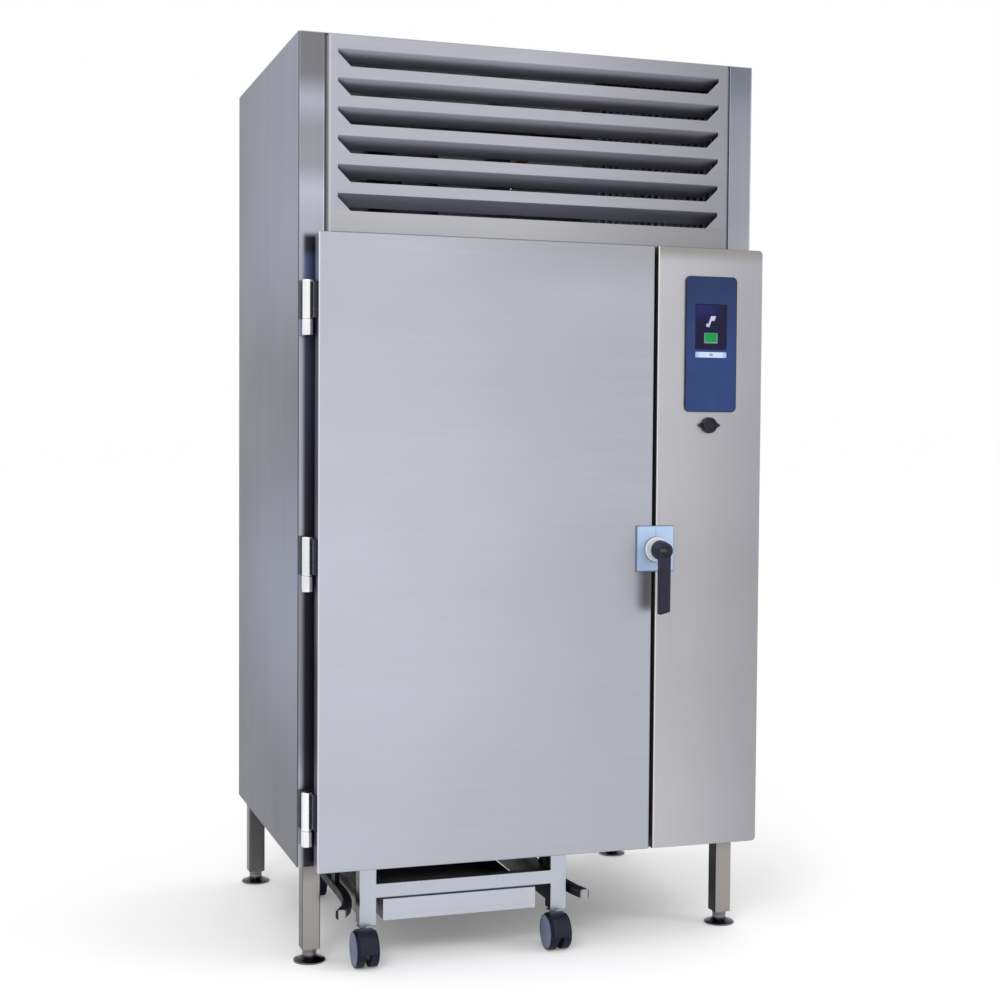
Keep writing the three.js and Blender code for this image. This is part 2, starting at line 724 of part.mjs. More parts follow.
// ---------------------------------------------------------------- door
// A plate with rounded front edges: a bevelled extrusion, its back half cut away flat.
function softPlate([x0, x1], [z0, z1], [y0, y1], edge, corner = 1) {
  const shape = roundedRect([x0 + edge, x1 - edge], [z0 + edge, z1 - edge], corner);
  const rounding = { bevelThickness: edge, bevelSize: edge, bevelSegments: 3, curveSegments: 4 };
  const options = { depth: y1 - y0, ...rounding };
  const solid = new THREE.ExtrudeGeometry(shape, options).rotateX(Math.PI / 2).translate(0, y1 + edge, 0);
  return cut(solid, block([x0 - 1, x1 + 1], [y1, y1 + 3 * edge], [z0 - 1, z1 + 1]));
}

const panBack = -doorStandoff - linerLip;

function doorPanel() {
  const skin = softPlate([doorLeft, doorRight], [doorBottom, doorTop], [doorFace, panBack], doorEdge);
  const hollow = block([doorLeft + sheet, doorRight - sheet], [doorFace + sheet, panBack + 1],
    [doorBottom + sheet, doorTop - sheet]);
  return piece('door_panel', cut(skin, hollow), 'steelFront');
}

function doorLiner() {
  const inside = sheet + seat;
  const core = block([doorLeft + inside, doorRight - inside], [doorFace + inside, panBack + 1],
    [doorBottom + inside, doorTop - inside]);
  const lid = block([doorLeft + doorEdge, doorRight - doorEdge], [panBack + seat, -doorStandoff],
    [doorBottom + doorEdge, doorTop - doorEdge]);
  return piece('door_liner', join(core, lid), 'foam');
}

function doorGasket() {
  const outer = [doorLeft + gasketInset, doorRight - gasketInset];
  const inner = [outer[0] + gasketWidth, outer[1] - gasketWidth];
  const [bottom, top] = [doorBottom + gasketInset / 2, doorTop - gasketInset / 2];
  const y = [-doorStandoff + seat, -seat];
  const parts = [
    block([outer[0], inner[0]], y, [bottom, top]),
    block([inner[1], outer[1]], y, [bottom, top]),
    block(outer, y, [top - gasketWidth, top]),
    block(outer, [y[0], y[0] + sweepThickness], [bottom, bottom + gasketWidth]),
  ];
  return piece('door_gasket', join(...parts), 'rubber');
}

// ---------------------------------------------------------------- hinges
// Both leaves are drawn about the hinge's axis, with Z = 0 where the two barrels meet.
const hingeHeights = {
  top: doorTop - topHingeDrop,
  middle: doorBottom + middleHingeRise,
  bottom: doorBottom + bottomHingeRise,
};

function frameLeaf(level) {
  const plateBack = -hingeY - seat;
  const parts = [
    rod('z', [-barrelLow, 0], barrelRadius + 1, [0, 0]),
    rod('z', [-1, pinLength], pinRadius, [0, 0], 16),
    block([-armThickness / 2, armThickness / 2], [0, plateBack], [-barrelLow, -2]),
    block([-hingeX + 3, -hingeX + 3 + leafWidth], [plateBack - leafThickness, plateBack], [-barrelLow, -2]),
  ];
  const mesh = piece(`hinge_frame_${level}`, join(...parts), 'chrome');
  mesh.position.set(hingeX, hingeY, hingeHeights[level]);
  return mesh;
}

function doorLeaf(level) {
  const edge = doorLeft - hingeX - seat;
  const profile = [[0, 0], [barrelRadius, 0], [barrelRadius, barrelTop - 3], [barrelRadius - 3, barrelTop],
    [0, barrelTop]];
  const barrel = new THREE.LatheGeometry(profile.map(([r, z]) => new THREE.Vector2(r, z)), 24);
  const z = [2, barrelTop - 6];
  const solid = join(
    barrel.rotateX(Math.PI / 2),
    block([0, edge], [-armThickness / 2, armThickness / 2], z),
    block([edge - leafThickness, edge], [doorFace - hingeY + 6, -doorStandoff - hingeY - 6], z),
  );
  const bore = rod('z', [-1, pinLength + 2], pinRadius + running, [0, 0], 16);
  const mesh = piece(`hinge_door_${level}`, cut(solid, bore), 'chrome');
  mesh.position.set(hingeX, hingeY, hingeHeights[level] + running);
  return mesh;
}

// ---------------------------------------------------------------- handle and latch
const handleX = doorRight + handleOut;
const handleZ = doorBottom + handleRise;
const latchLeft = doorRight - latchReach;
const latchRight = doorRight + latchOverhang;
const plateZ = [handleZ - plateBelow, handleZ + plateAbove];
const plateFront = doorFace - seat - plateThickness;

function latchPlate() {
  const plate = block([latchLeft, latchRight], [plateFront, doorFace - seat], plateZ);
  const profile = [[0, 0], [rosetteRadius, 0], [rosetteRadius, rosetteThickness - 4],
    [rosetteRadius - 4, rosetteThickness], [0, rosetteThickness]];
  const rosette = new THREE.LatheGeometry(profile.map(([r, z]) => new THREE.Vector2(r, z)), 40);
  rosette.rotateX(Math.PI).translate(handleX, plateFront - seat, handleZ);
  const neck = block([handleX - rosetteRadius / 2, latchRight - 2], [plateFront - 2, plateFront + 1],
    grown([handleZ, handleZ], rosetteBridge / 2));
  return piece('latch_plate', join(plate, rosette, neck), 'chrome');
}

function strikePlate() {
  const x = [latchRight + plateSeam, doorRight + strikeReach];
  return piece('strike_plate', block(x, [plateFront, doorFace - seat], plateZ), 'chrome');
}

function handleLever() {
  const hubBack = plateFront - seat - rosetteThickness - seat;
  const hubLength = hubBack - leverFace;
  const bandStart = neckLength + hubEdge;
  const profile = [[0, 0], [neckRadius, 0], [neckRadius, neckLength], [hubRadius - hubEdge, neckLength],
    [hubRadius, bandStart], [hubRadius, bandStart + hubBand], [hubFace, hubLength], [0, hubLength]];
  const hub = new THREE.LatheGeometry(profile.map(([r, y]) => new THREE.Vector2(r, y)), 32);
  hub.rotateX(Math.PI).translate(0, hubBack, 0);
  const half = leverWidth / 2;
  const grip = outline([[-half, hubRadius * 0.6], [-half, -leverDrop], [half, -leverDrop + leverSlant],
    [half, hubRadius * 0.6]]);
  const edges = { bevelThickness: leverEdge, bevelSize: -leverEdge, bevelSegments: 2 };
  const bar = new THREE.ExtrudeGeometry(grip, { depth: leverThickness - 2 * leverEdge, ...edges });
  bar.rotateX(Math.PI / 2).translate(0, leverFace + leverThickness - leverEdge, 0);
  const mesh = piece('handle_lever', join(hub, bar), 'blackPlastic');
  mesh.position.set(handleX, 0, handleZ);
  return mesh;
}

// ---------------------------------------------------------------- control column
const bezelX = [cabinetWidth - bezelInset - bezelWidth, cabinetWidth - bezelInset];
const bezelZ = [doorTop - bezelDrop - bezelHeight, doorTop - bezelDrop];
const controlsX = bezelX[0] + controlsInset;
const screenTop = bezelZ[1] - screenDrop;
const keyTop = screenTop - screenHeight - keyGap;
const screenX = [controlsX - screenWidth / 2, controlsX + screenWidth / 2];
const screenZ = [screenTop - screenHeight, screenTop];
const keyX = [controlsX - keyWidth / 2, controlsX + keyWidth / 2];
const keyZ = [keyTop - keyHeight, keyTop];
const bezelFront = doorFace - seat - bezelThickness;

function columnShape(inset) {
  const [left, right] = [columnLeft + inset, cabinetWidth - inset];
  const [bottom, top] = [doorBottom + inset, doorTop - inset];
  const radius = Math.max(columnCorner - inset, 1);
  const shape = new THREE.Shape();
  shape.moveTo(left, top);
  shape.lineTo(left, bottom);
  shape.absarc(right - radius, bottom + radius, radius, -Math.PI / 2, 0);
  shape.absarc(right - radius, top - radius, radius, 0, Math.PI / 2);
  return shape;
}

function controlColumn() {
  const shell = facing(columnShape(0), [doorFace, -seat], 6);
  const hollow = facing(columnShape(sheet), [doorFace + sheet, 1], 6);
  const windows = [[screenX, screenZ], [keyX, keyZ]].map(([x, z]) => block(grown(x, 2), [doorFace - 1, 1],
    grown(z, 2)));
  return piece('control_column', cut(shell, hollow, ...windows), 'steelFront');
}

function controlBezel() {
  const shape = roundedRect(bezelX, bezelZ, bezelCorner);
  shape.holes.push(rectHole(grown(screenX, seat), grown(screenZ, seat)));
  shape.holes.push(rectHole(grown(keyX, running), grown(keyZ, running)));
  return piece('control_bezel', facing(shape, [bezelFront, doorFace - seat], 6), 'bezelBlue');
}

function touchScreen() {
  const y = [bezelFront + 1, bezelFront + 1 + screenDepth];
  return piece('touch_screen', block(screenX, y, screenZ), 'screenGlass');
}

function powerKey() {
  const shape = roundedRect(keyX, keyZ, 2);
  return piece('power_key', facing(shape, [bezelFront - 1, bezelFront - 1 + keyDepth]), 'keyWhite');
}

function electricalBox() {
  const x = [columnLeft + sheet + boxSide, innerRight];
  const y = [doorFace + sheet + boxFront, 0];
  const top = doorTop - boxDrop;
  return piece('electrical_box', block(x, y, [top - boxHeight, top]), 'darkMetal');
}

function socketCap() {
  const back = doorFace - seat;
  const [x, z] = [bezelX[0] + capInset, bezelZ[0] - capDrop];
  const body = rod('y', [back - capThickness, back], capRadius, [x, z], 28);
  const ears = facing(outline([[x - capEarSpan / 2, z], [x, z - capEarHeight], [x + capEarSpan / 2, z],
    [x, z + capEarHeight]]), [back - capThickness / 2, back]);
  return piece('socket_cap', join(body, ears), 'blackPlastic');
}

// ---------------------------------------------------------------- guide rails
const leftGuide = cartCentre - guideOffset;
const rightGuide = cartCentre + guideOffset;

// A rail runs straight back under the cabinet and flares outwards at its front end.
function guideRail(name, x, frontX) {
  const path = new THREE.CurvePath();
  const bendStart = new THREE.Vector3(x, guideBend, guideZ);
  path.add(new THREE.LineCurve3(new THREE.Vector3(x, guideBack, guideZ), bendStart));
  path.add(new THREE.QuadraticBezierCurve3(bendStart, new THREE.Vector3(x, guideKnee, guideZ),
    new THREE.Vector3(frontX, guideEnd, guideZ)));
  const half = guideSize / 2;
  const flat = 0.7 * half;
  const section = outline([[-flat, -half], [flat, -half], [half, -flat], [half, flat],
    [flat, half], [-flat, half], [-half, flat], [-half, -flat]]);
  const rail = new THREE.ExtrudeGeometry(section, { steps: 16, extrudePath: path, bevelEnabled: false });
  const hangers = hangerPlaces.map((y) => block([x - half / 2, x + half / 2], [y, y + hangerWidth],
    [guideZ, underside - seat]));
  return piece(name, join(rail, ...hangers), 'darkMetal');
}

// ---------------------------------------------------------------- cart
const cartLeft = cartCentre - cartWidth / 2;
const cartRight = cartCentre + cartWidth / 2;
const postBack = cartFront + postSize;
const leftPost = [cartLeft, cartLeft + postSize];
const rightPost = [cartRight - postSize, cartRight];
const rackTop = cavityTop - rackHeadroom;
const runnerCount = Math.floor((rackTop - frameBar - runnerFirst) / runnerPitch);

function cartFrame() {
  const parts = [];
  const rear = [rackBack - frameBar, rackBack];
  [leftPost, rightPost].forEach((x) => {
    const middle = (x[0] + x[1]) / 2;
    const beam = [middle - beamWidth / 2, middle + beamWidth / 2];
    parts.push(block(x, [cartFront, postBack], [postBottom, rackTop]));
    parts.push(block(beam, [postBack - 1, rackBack], [beamBottom, beamBottom + beamHeight]));
    parts.push(block(x, grown([rearCasterY, rearCasterY], postSize / 2), [postBottom, beamBottom + 1]));
    parts.push(block(x, [postBack - 1, rackBack], [rackBase, rackBase + frameBar]));
    parts.push(block(x, [postBack - 1, rackBack], [rackTop - frameBar, rackTop]));
    parts.push(block(x, rear, [rackBase, rackTop]));
  });
  const across = [leftPost[1] - 1, rightPost[0] + 1];
  const acrossBeams = grown(across, (postSize - beamWidth) / 2 + 2);
  const crossbar = [crossbarBottom, crossbarBottom + crossbarHeight];
  parts.push(block(across, [cartFront, cartFront + crossbarDepth], crossbar));
  parts.push(block(acrossBeams, rear, [beamBottom, beamBottom + beamHeight]));
  [rackBase, rackTop - frameBar].forEach((z) => {
    parts.push(block(across, rear, [z, z + frameBar]));
  });
  return piece('cart_frame', join(...parts), 'steelFront');
}

// Two ladders of pan runners, tied together across the back.
function panRack() {
  const back = rackBack - frameBar - seat;
  const front = postBack + ladderStrip;
  const ladders = [[leftPost[1] + seat, 1], [rightPost[0] - seat, -1]];
  const top = runnerFirst + runnerCount * runnerPitch;
  const parts = [];
  ladders.forEach(([x, inward]) => {
    const strip = [x, x + inward * ladderSheet].sort((a, b) => a - b);
    const runner = [x + inward * (ladderSheet - 1), x + inward * runnerWidth].sort((a, b) => a - b);
    [front, back - 2 * ladderStrip].forEach((y) => {
      parts.push(block(strip, [y, y + ladderStrip], [rackBase + frameBar + seat, top]));
    });
    for (let level = 0; level < runnerCount; level += 1) {
      const z = runnerFirst + level * runnerPitch;
      parts.push(block(runner, [postBack, back], [z, z + runnerThickness]));
    }
  });
  [0, runnerCount - 1].forEach((level) => {
    const z = runnerFirst + level * runnerPitch;
    parts.push(block([leftPost[1] + seat, rightPost[0] - seat], [back - ladderSheet, back],
      [z, z + ladderStrip]));
  });
  return piece('pan_rack', join(...parts), 'steelFront');
}

function cartTray() {
  const x = [trayLeft, trayRight];
  const y = [cartFront - traySheet, cartFront + trayDepth];
  const body = cut(block(x, y, [trayBottom, trayBottom + trayWall]),
    block(grown(x, -traySheet), grown(y, -traySheet), [trayBottom + traySheet, trayBottom + trayWall + 1]));
  const front = block(x, [y[0], y[0] + traySheet], [trayBottom, trayFrontTop]);
  const hook = block(x, [y[0], cartFront + crossbarDepth], [trayFrontTop - traySheet, trayFrontTop]);
  const lipY = [cartFront + 2 * traySheet, cartFront + 3 * traySheet];
  const lip = block(x, lipY, [trayFrontTop - traySheet, crossbarBottom - seat]);
  return piece('cart_tray', join(body, front, hook, lip), 'steelFront');
}

// ---------------------------------------------------------------- casters
// Each caster is drawn about its swivel's axis, with the wheels' axis casterTrail in front of it.
const wheelY = -casterTrail;
const twinHalf = webThickness / 2 + guardClearance + wheelWidth;

function casterHood(corner, x, y) {
  const inner = wheelRadius + guardClearance;
  const outer = inner + guardThickness;
  const [low, high] = [0.1 * Math.PI, 1.12 * Math.PI];
  const band = new THREE.Shape();
  band.absarc(wheelY, wheelRadius, outer, low, high, false);
  band.absarc(wheelY, wheelRadius, inner, high, low, true);
  const web = new THREE.Shape();
  web.absarc(wheelY, wheelRadius, inner + 1, low, high, false);
  web.absarc(wheelY, wheelRadius, 2.4 * axleRadius, high, low + 2 * Math.PI, false);
  const stemFoot = wheelRadius + Math.sqrt(inner ** 2 - (casterTrail - stemRadius) ** 2);
  const solid = join(
    sideways(band, [-twinHalf + 2, twinHalf - 2], 7),
    sideways(web, [-webThickness / 2, webThickness / 2], 7),
    block([-webThickness / 2, webThickness / 2], [-stemRadius, stemRadius],
      [wheelRadius + inner / 2, stemFoot + 2]),
    rod('z', [stemFoot, casterHeight], stemRadius, [0, 0], 16),
  );
  const bore = rod('x', [-webThickness, webThickness], axleRadius + running, [wheelY, wheelRadius], 12);
  const mesh = piece(`caster_${corner}_hood`, cut(solid, bore), 'blackPlastic');
  mesh.position.set(x, y, 0);
  return mesh;
}

function casterWheels(corner, x, y) {
  const [r, w] = [wheelRadius, twinHalf];
  const near = webThickness / 2 + guardClearance / 2;
  const side = [[axleRadius, near], [r - 1, near], [r, w - 5], [r - 5, w], [r - 8, w - 1]];
  const mirrored = side.map(([radius, along]) => [radius, -along]).reverse();
  const profile = [[0, 1 - w], ...mirrored, ...side, [0, w - 1]];
  const points = profile.map(([radius, along]) => new THREE.Vector2(radius, along));
  const geometry = new THREE.LatheGeometry(points, 20).rotateZ(-Math.PI / 2);
  const mesh = piece(`caster_${corner}_wheels`, geometry, 'tyre');
  mesh.position.set(x, y + wheelY, wheelRadius);
  return mesh;
}

function casters() {
  const inset = { front: postSize / 2 - swivelOffset, rear: postSize / 2 };
  const x = { left: cartLeft, right: rightPost[0] };
  const y = { front: cartFront + swivelInset, rear: rearCasterY };
  return Object.keys(y).flatMap((end) => Object.keys(x).flatMap((side) => [
    casterHood(`${end}_${side}`, x[side] + inset[end], y[end]),
    casterWheels(`${end}_${side}`, x[side] + inset[end], y[end]),
  ]));
}

// ---------------------------------------------------------------- assembly
function group(...members) {
  const whole = new THREE.Group();
  whole.add(...members);
  return whole;
}

const levels = Object.keys(hingeHeights);

const shell = group(
  sidePanel('left_side_panel', 'left'), sidePanel('right_side_panel', 'right'),
  backPanel(), roofPanel(), louvrePanel(),
);
const cavity = group(
  sideWall('left_wall', 'left'), sideWall('right_wall', 'right'),
  backWall(), ceilingWall(), insulatedFloor(), frontDivider(),
);
const evaporator = group(
  guardPanel(), evaporatorCoil(), evaporatorMotors(), evaporatorFan('lower'), evaporatorFan('upper'),
);
const machine = group(condenserCoil(), condenserMotor(), condenserFan(), compressor(), refrigerantLine());
const controls = group(
  controlColumn(), electricalBox(), controlBezel(), touchScreen(), powerKey(), socketCap(), strikePlate(),
);
const door = group(
  doorPanel(), doorLiner(), doorGasket(), ...levels.map(doorLeaf), latchPlate(), handleLever(),
);
const base = group(
  ...legsAndFeet(), ...levels.map(frameLeaf),
  guideRail('left_guide_rail', leftGuide, leftGuide - leftFlare),
  guideRail('right_guide_rail', rightGuide, rightGuide + rightFlare),
);
const cart = group(cartFrame(), panRack(), cartTray(), ...casters());

const blastChiller = group(shell, cavity, evaporator, machine, controls, door, base, cart);
blastChiller.position.set(-cabinetWidth / 2, -(leverFace + cabinetDepth) / 2, 0);

export default group(blastChiller);
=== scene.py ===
# %% [markdown]
# A roll-in blast chiller, dressed for a picture. The machine's solids come in ready-made as a fixed frame.
# This lesson gives them their brushed steel, their plastics and their small round parts, one piece at a
# time.

# %% Load the frame
import json
import math

import bmesh
import bpy
from mathutils import Matrix, Vector


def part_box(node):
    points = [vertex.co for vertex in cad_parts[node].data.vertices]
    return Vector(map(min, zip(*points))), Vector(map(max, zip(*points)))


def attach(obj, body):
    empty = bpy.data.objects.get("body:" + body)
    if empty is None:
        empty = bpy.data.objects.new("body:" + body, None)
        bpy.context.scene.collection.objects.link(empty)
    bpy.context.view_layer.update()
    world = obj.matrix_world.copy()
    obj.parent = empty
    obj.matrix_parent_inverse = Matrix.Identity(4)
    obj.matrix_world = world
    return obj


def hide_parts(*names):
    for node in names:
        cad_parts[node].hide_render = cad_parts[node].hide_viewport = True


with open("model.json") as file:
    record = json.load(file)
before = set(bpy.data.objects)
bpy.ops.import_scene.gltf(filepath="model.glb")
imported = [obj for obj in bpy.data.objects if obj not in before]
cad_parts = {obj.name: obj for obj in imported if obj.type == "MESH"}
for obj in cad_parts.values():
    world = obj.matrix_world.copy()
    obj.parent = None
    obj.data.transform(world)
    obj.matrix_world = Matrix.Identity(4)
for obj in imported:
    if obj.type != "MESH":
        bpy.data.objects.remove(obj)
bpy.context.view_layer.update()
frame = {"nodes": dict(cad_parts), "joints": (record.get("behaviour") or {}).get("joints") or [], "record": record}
nodes = frame["nodes"]
body_of_node = {
    node: body
    for body, members in frame["record"]["behaviour"]["bodies"].items()
    for node in members
}
joints = {joint["name"]: joint for joint in frame["joints"]}
CORNERS = ("front_left", "front_right", "rear_left", "rear_right")
LEVELS = ("top", "middle", "bottom")

# %% [markdown]
# The camera stands where the photographer stood: left of the middle, at about eye height, five metres away.
# Its axes were worked out from the photograph's converging edges, so they are set as one matrix. A matrix
# says the same as three angles, and leaves no doubt about the order in which they are applied.

# %% Camera
camera_place = Vector((-1.5420, -4.7749, 1.4454))
camera_right = Vector((0.94956093, -0.31350233, 0.00709405))
camera_up = Vector((0.00598537, 0.04073815, 0.99915193))
camera_back = camera_right.cross(camera_up)
sensor_mm, lens_mm = 36.0, 60.0
nearest, farthest = 0.05, 200.0

camera = bpy.data.objects.new("camera", bpy.data.cameras.new("camera"))
bpy.context.scene.collection.objects.link(camera)
turn = Matrix((camera_right, camera_up, camera_back)).transposed()
camera.matrix_world = Matrix.Translation(camera_place) @ turn.to_4x4()
camera.data.sensor_width, camera.data.lens = sensor_mm, lens_mm
camera.data.clip_start, camera.data.clip_end = nearest, farthest
bpy.context.scene.camera = camera
print("camera looks along", -camera_back)

# %% [markdown]
# Shader nodes can be written as sums. A small class wraps one output of a node, and its plus, minus and
# times signs add Math nodes. A second class holds a node tree and adds any other node from its kind, its
# settings and what goes into its sockets. The finishes below then read like a recipe and stay short.

# %% Shader sums
class Signal:
    """One output of a shader node, used in sums like a number."""

    def __init__(self, recipe, socket):
        self.recipe, self.socket = recipe, socket

    def math(self, operation, first, second):
        return self.recipe.add("Math", {"operation": operation}, {0: first, 1: second})

    def __add__(self, other):
        return self.math("ADD", self, other)

    def __sub__(self, other):
        return self.math("SUBTRACT", self, other)

    def __rsub__(self, other):
        return self.math("SUBTRACT", other, self)

    def __mul__(self, other):
        return self.math("MULTIPLY", self, other)

    __radd__ = __add__
    __rmul__ = __mul__

    def rise(self, low, high):
        """0 below low, 1 above high, and a soft step between them."""
        settings = {"interpolation_type": "SMOOTHSTEP"}
        return self.recipe.add("MapRange", settings, {"Value": self, "From Min": low, "From Max": high})

    def within(self, low, high, soft):
        """1 between low and high, 0 outside, with soft edges."""
        return self.rise(low - soft, low + soft) * (1 - self.rise(high - soft, high + soft))

    def steps(self, *stops):
        """Soft steps through (place, value) pairs."""
        total = stops[0][1]
        for (low, before), (high, after) in zip(stops, stops[1:]):
            total = self.rise(low, high) * (after - before) + total
        return total


class Recipe:
    """A node tree that nodes are added to."""

    def __init__(self, tree, material=None):
        self.tree, self.material = tree, material
        tree.nodes.clear()

    def add(self, kind, settings=None, sockets=None, give=0):
        node = self.tree.nodes.new("ShaderNode" + kind)
        for name, value in (settings or {}).items():
            setattr(node, name, value)
        for key, value in (sockets or {}).items():
            if isinstance(value, Signal):
                self.tree.links.new(value.socket, node.inputs[key])
            else:
                node.inputs[key].default_value = value
        return Signal(self, node.outputs[give]) if node.outputs else None

    def blend(self, share, first, second):
        """The first colour at share 0, the second at share 1."""
        return self.add("Mix", {"data_type": "RGBA"}, {0: share, 6: first, 7: second}, give=2)

    def larger(self, first, second):
        return self.add("Math", {"operation": "MAXIMUM"}, {0: first, 1: second})

    def place(self):
        """The Object coordinates, in metres."""
        return self.add("TexCoord", give=3)

    def apart(self, vector):
        """The X, Y and Z of a vector."""
        split = self.add("SeparateXYZ", {}, {0: vector})
        return [Signal(self, output) for output in split.socket.node.outputs]

    def noise(self, vector, stretch, detail=2.0, roughness=0.5):
        """Noise that is stretched by a different scale along X, Y and Z."""
        scaled = self.add("VectorMath", {"operation": "MULTIPLY"}, {0: vector, 1: stretch})
        sockets = {"Vector": scaled, "Scale": 1.0, "Detail": detail, "Roughness": roughness}
        return self.add("TexNoise", {}, sockets)

    def bump(self, height, depth):
        return self.add("Bump", {}, {"Height": height, "Distance": depth, "Strength": 1.0})

    def finish(self, **sockets):
        """The surface shader. Its socket names are written with underscores."""
        named = {name.replace("_", " "): value for name, value in sockets.items()}
        shader = self.add("BsdfPrincipled", {}, named)
        self.add("OutputMaterial", {}, {"Surface": shader})


def recipe_for(name):
    material = bpy.data.materials.new(name)
    material.use_nodes = True
    return Recipe(material.node_tree, material)


def tone(red, green, blue):
    """A colour given from 0 to 255 as a screen shows it, turned into light."""
    parts = [value / 255 for value in (red, green, blue)]
    light = [p / 12.92 if p <= 0.04045 else ((p + 0.055) / 1.055) ** 2.4 for p in parts]
    return (*light, 1.0)


def scaled_tone(colour, factor):
    return (*[min(part * factor, 1.0) for part in colour[:3]], 1.0)


print("tone(181, 185, 197) is", [round(part, 3) for part in tone(181, 185, 197)])

# %% [markdown]
# The stage is a pale floor under an even white sky. The sky is white where the camera, a mirror or glass
# sees it, and a little dimmer where it only gives light, so that pale steel doesn't burn out. The floor
# shines very faintly to the camera alone, so that it runs into the sky without a line and still shows the
# shadow. Two large soft lamps shape the metal: a main one from the front left and a weaker one from the
# right.

# %% Stage
floor_reach = 60.0
floor_glow = 0.14
sky_light = 0.92
white = (1, 1, 1, 1)

bm = bmesh.new()
bmesh.ops.create_grid(bm, x_segments=1, y_segments=1, size=floor_reach)
floor_mesh = bpy.data.meshes.new("floor")
bm.to_mesh(floor_mesh)
bm.free()
floor = bpy.data.objects.new("floor", floor_mesh)
bpy.context.scene.collection.objects.link(floor)
paper = recipe_for("floor_paper")
floor_rays = paper.add("LightPath").socket.node.outputs
floor_seen = Signal(paper, floor_rays["Is Camera Ray"])
paper.finish(Base_Color=(0.94, 0.94, 0.94, 1), Roughness=0.9, Specular_IOR_Level=0.1,
             Emission_Color=white, Emission_Strength=floor_seen * floor_glow)
floor_mesh.materials.append(paper.material)

world = bpy.data.worlds.new("sky")
world.use_nodes = True
bpy.context.scene.world = world
sky = Recipe(world.node_tree)
sky_rays = sky.add("LightPath").socket.node.outputs
sky_seen = Signal(sky, sky_rays["Is Camera Ray"])
sky_mirrored = Signal(sky, sky_rays["Is Glossy Ray"]) + Signal(sky, sky_rays["Is Transmission Ray"])
sky_share = sky.add("Math", {"operation": "MINIMUM"}, {0: sky_seen + sky_mirrored, 1: 1.0})
sky_strength = sky_share * (1 - sky_light) + sky_light
background = sky.add("Background", {}, {"Color": white, "Strength": sky_strength})
sky.add("OutputWorld", {}, {"Surface": background})


def soft_lamp(name, place, size, power):
    """A round lamp that looks at the middle of the machine."""
    target = Vector((0, 0, 1.2))
    data = bpy.data.lights.new(name, "AREA")
    data.shape = "DISK"
    data.size, data.energy = size, power
    lamp = bpy.data.objects.new(name, data)
    lamp.location = place
    lamp.rotation_euler = (target - Vector(place)).to_track_quat("-Z", "Y").to_euler()
    bpy.context.scene.collection.objects.link(lamp)


soft_lamp("main_lamp", (-3.2, -5.0, 4.6), size=2.6, power=110)
soft_lamp("side_lamp", (4.6, -3.4, 3.0), size=2.2, power=45)
bpy.context.scene.view_settings.view_transform = "Standard"
print("stage ready, with lamps", [light.name for light in bpy.data.lights])

# %% [markdown]
# Brushed steel is the machine's main finish. A belt rubs fine scratches along one direction of each sheet,
# so the metal shows soft streaks that way, and broad faint clouds where the belt pressed unevenly. Three
# stretched noises make that: long streaks, finer hairs, and clouds. They vary the colour, the roughness and
# a tiny bump.

# %% Brushed steel
grain_scales = {"x": (1.6, 90.0, 120.0), "z": (120.0, 90.0, 1.4), "y": (120.0, 1.4, 120.0)}
cloud_scales = (1.7, 1.7, 2.6)
hairs_to_streaks = 5
scratch_depth = 0.00006


def brushed_steel(name, paint, grain, rough=0.34, streak=1.0, cloud=0.5):
    """paint is a colour, or a function that mixes streaked colours by place."""
    recipe = recipe_for(name)
    place = recipe.place()
    streaks = recipe.noise(place, grain_scales[grain], detail=3.0, roughness=0.55)
    hair_scales = [hairs_to_streaks * scale for scale in grain_scales[grain]]
    hairs = recipe.noise(place, hair_scales, detail=1.0)
    clouds = recipe.noise(place, cloud_scales)
    share = 0.5 + streak * 0.5 * (streaks - 0.5) + streak * 0.35 * (hairs - 0.5)
    share = share + 1.4 * cloud * (clouds - 0.5)

    def streaked(colour):
        return recipe.blend(share, scaled_tone(colour, 0.88), scaled_tone(colour, 1.12))

    base = paint(recipe, streaked, *recipe.apart(place)) if callable(paint) else streaked(paint)
    roughness = rough + 0.12 * (streaks - 0.5) + 0.10 * (clouds - 0.5)
    bump = recipe.bump(streaks + 0.5 * hairs, scratch_depth)
    recipe.finish(Base_Color=base, Roughness=roughness, Metallic=0.9, Normal=bump)
    return recipe.material


# %% [markdown]
# A sheet of steel shows what stands around it, so each sheet of this machine gets slow changes of tone that
# are painted reflections and painted shade, each written as a mix by place. The side panels come first:
# painted reflection bands along the side, darker painted reflections on the heads of the corner posts,
# which are the panels' folded front edges, and painted deep shade in the gap behind the door.

# %% Tones of the side panels
panel_left, front_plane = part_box("left_side_panel")[0][:2]
door_low, door_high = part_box("door_panel")
leaf_heights = [(low.z, high.z) for low, high in (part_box("hinge_door_" + level) for level in LEVELS)]
side_reflection_bands = ((0.40, 0.05), (0.98, 0.95), (1.54, 0.05), (2.02, 0.75), (2.42, 0.65))
left_post_reflection_bands = ((0.50, 0.75), (0.62, 0.35), (0.98, 0.35), (1.10, 0.85), (2.01, 0.85), (2.08, 0.98),
                   (2.16, 0.45), (2.24, 0.42), (2.32, 0.72), (2.40, 0.12))
right_post_reflection_bands = ((1.96, 0.85), (2.10, 0.62), (2.34, 0.45), (2.48, 0.05))
gap_shade_bands = ((1.20, 0.0), (1.66, 0.3), (1.84, 1.0), (1.90, 0.9), (1.93, 0.1))


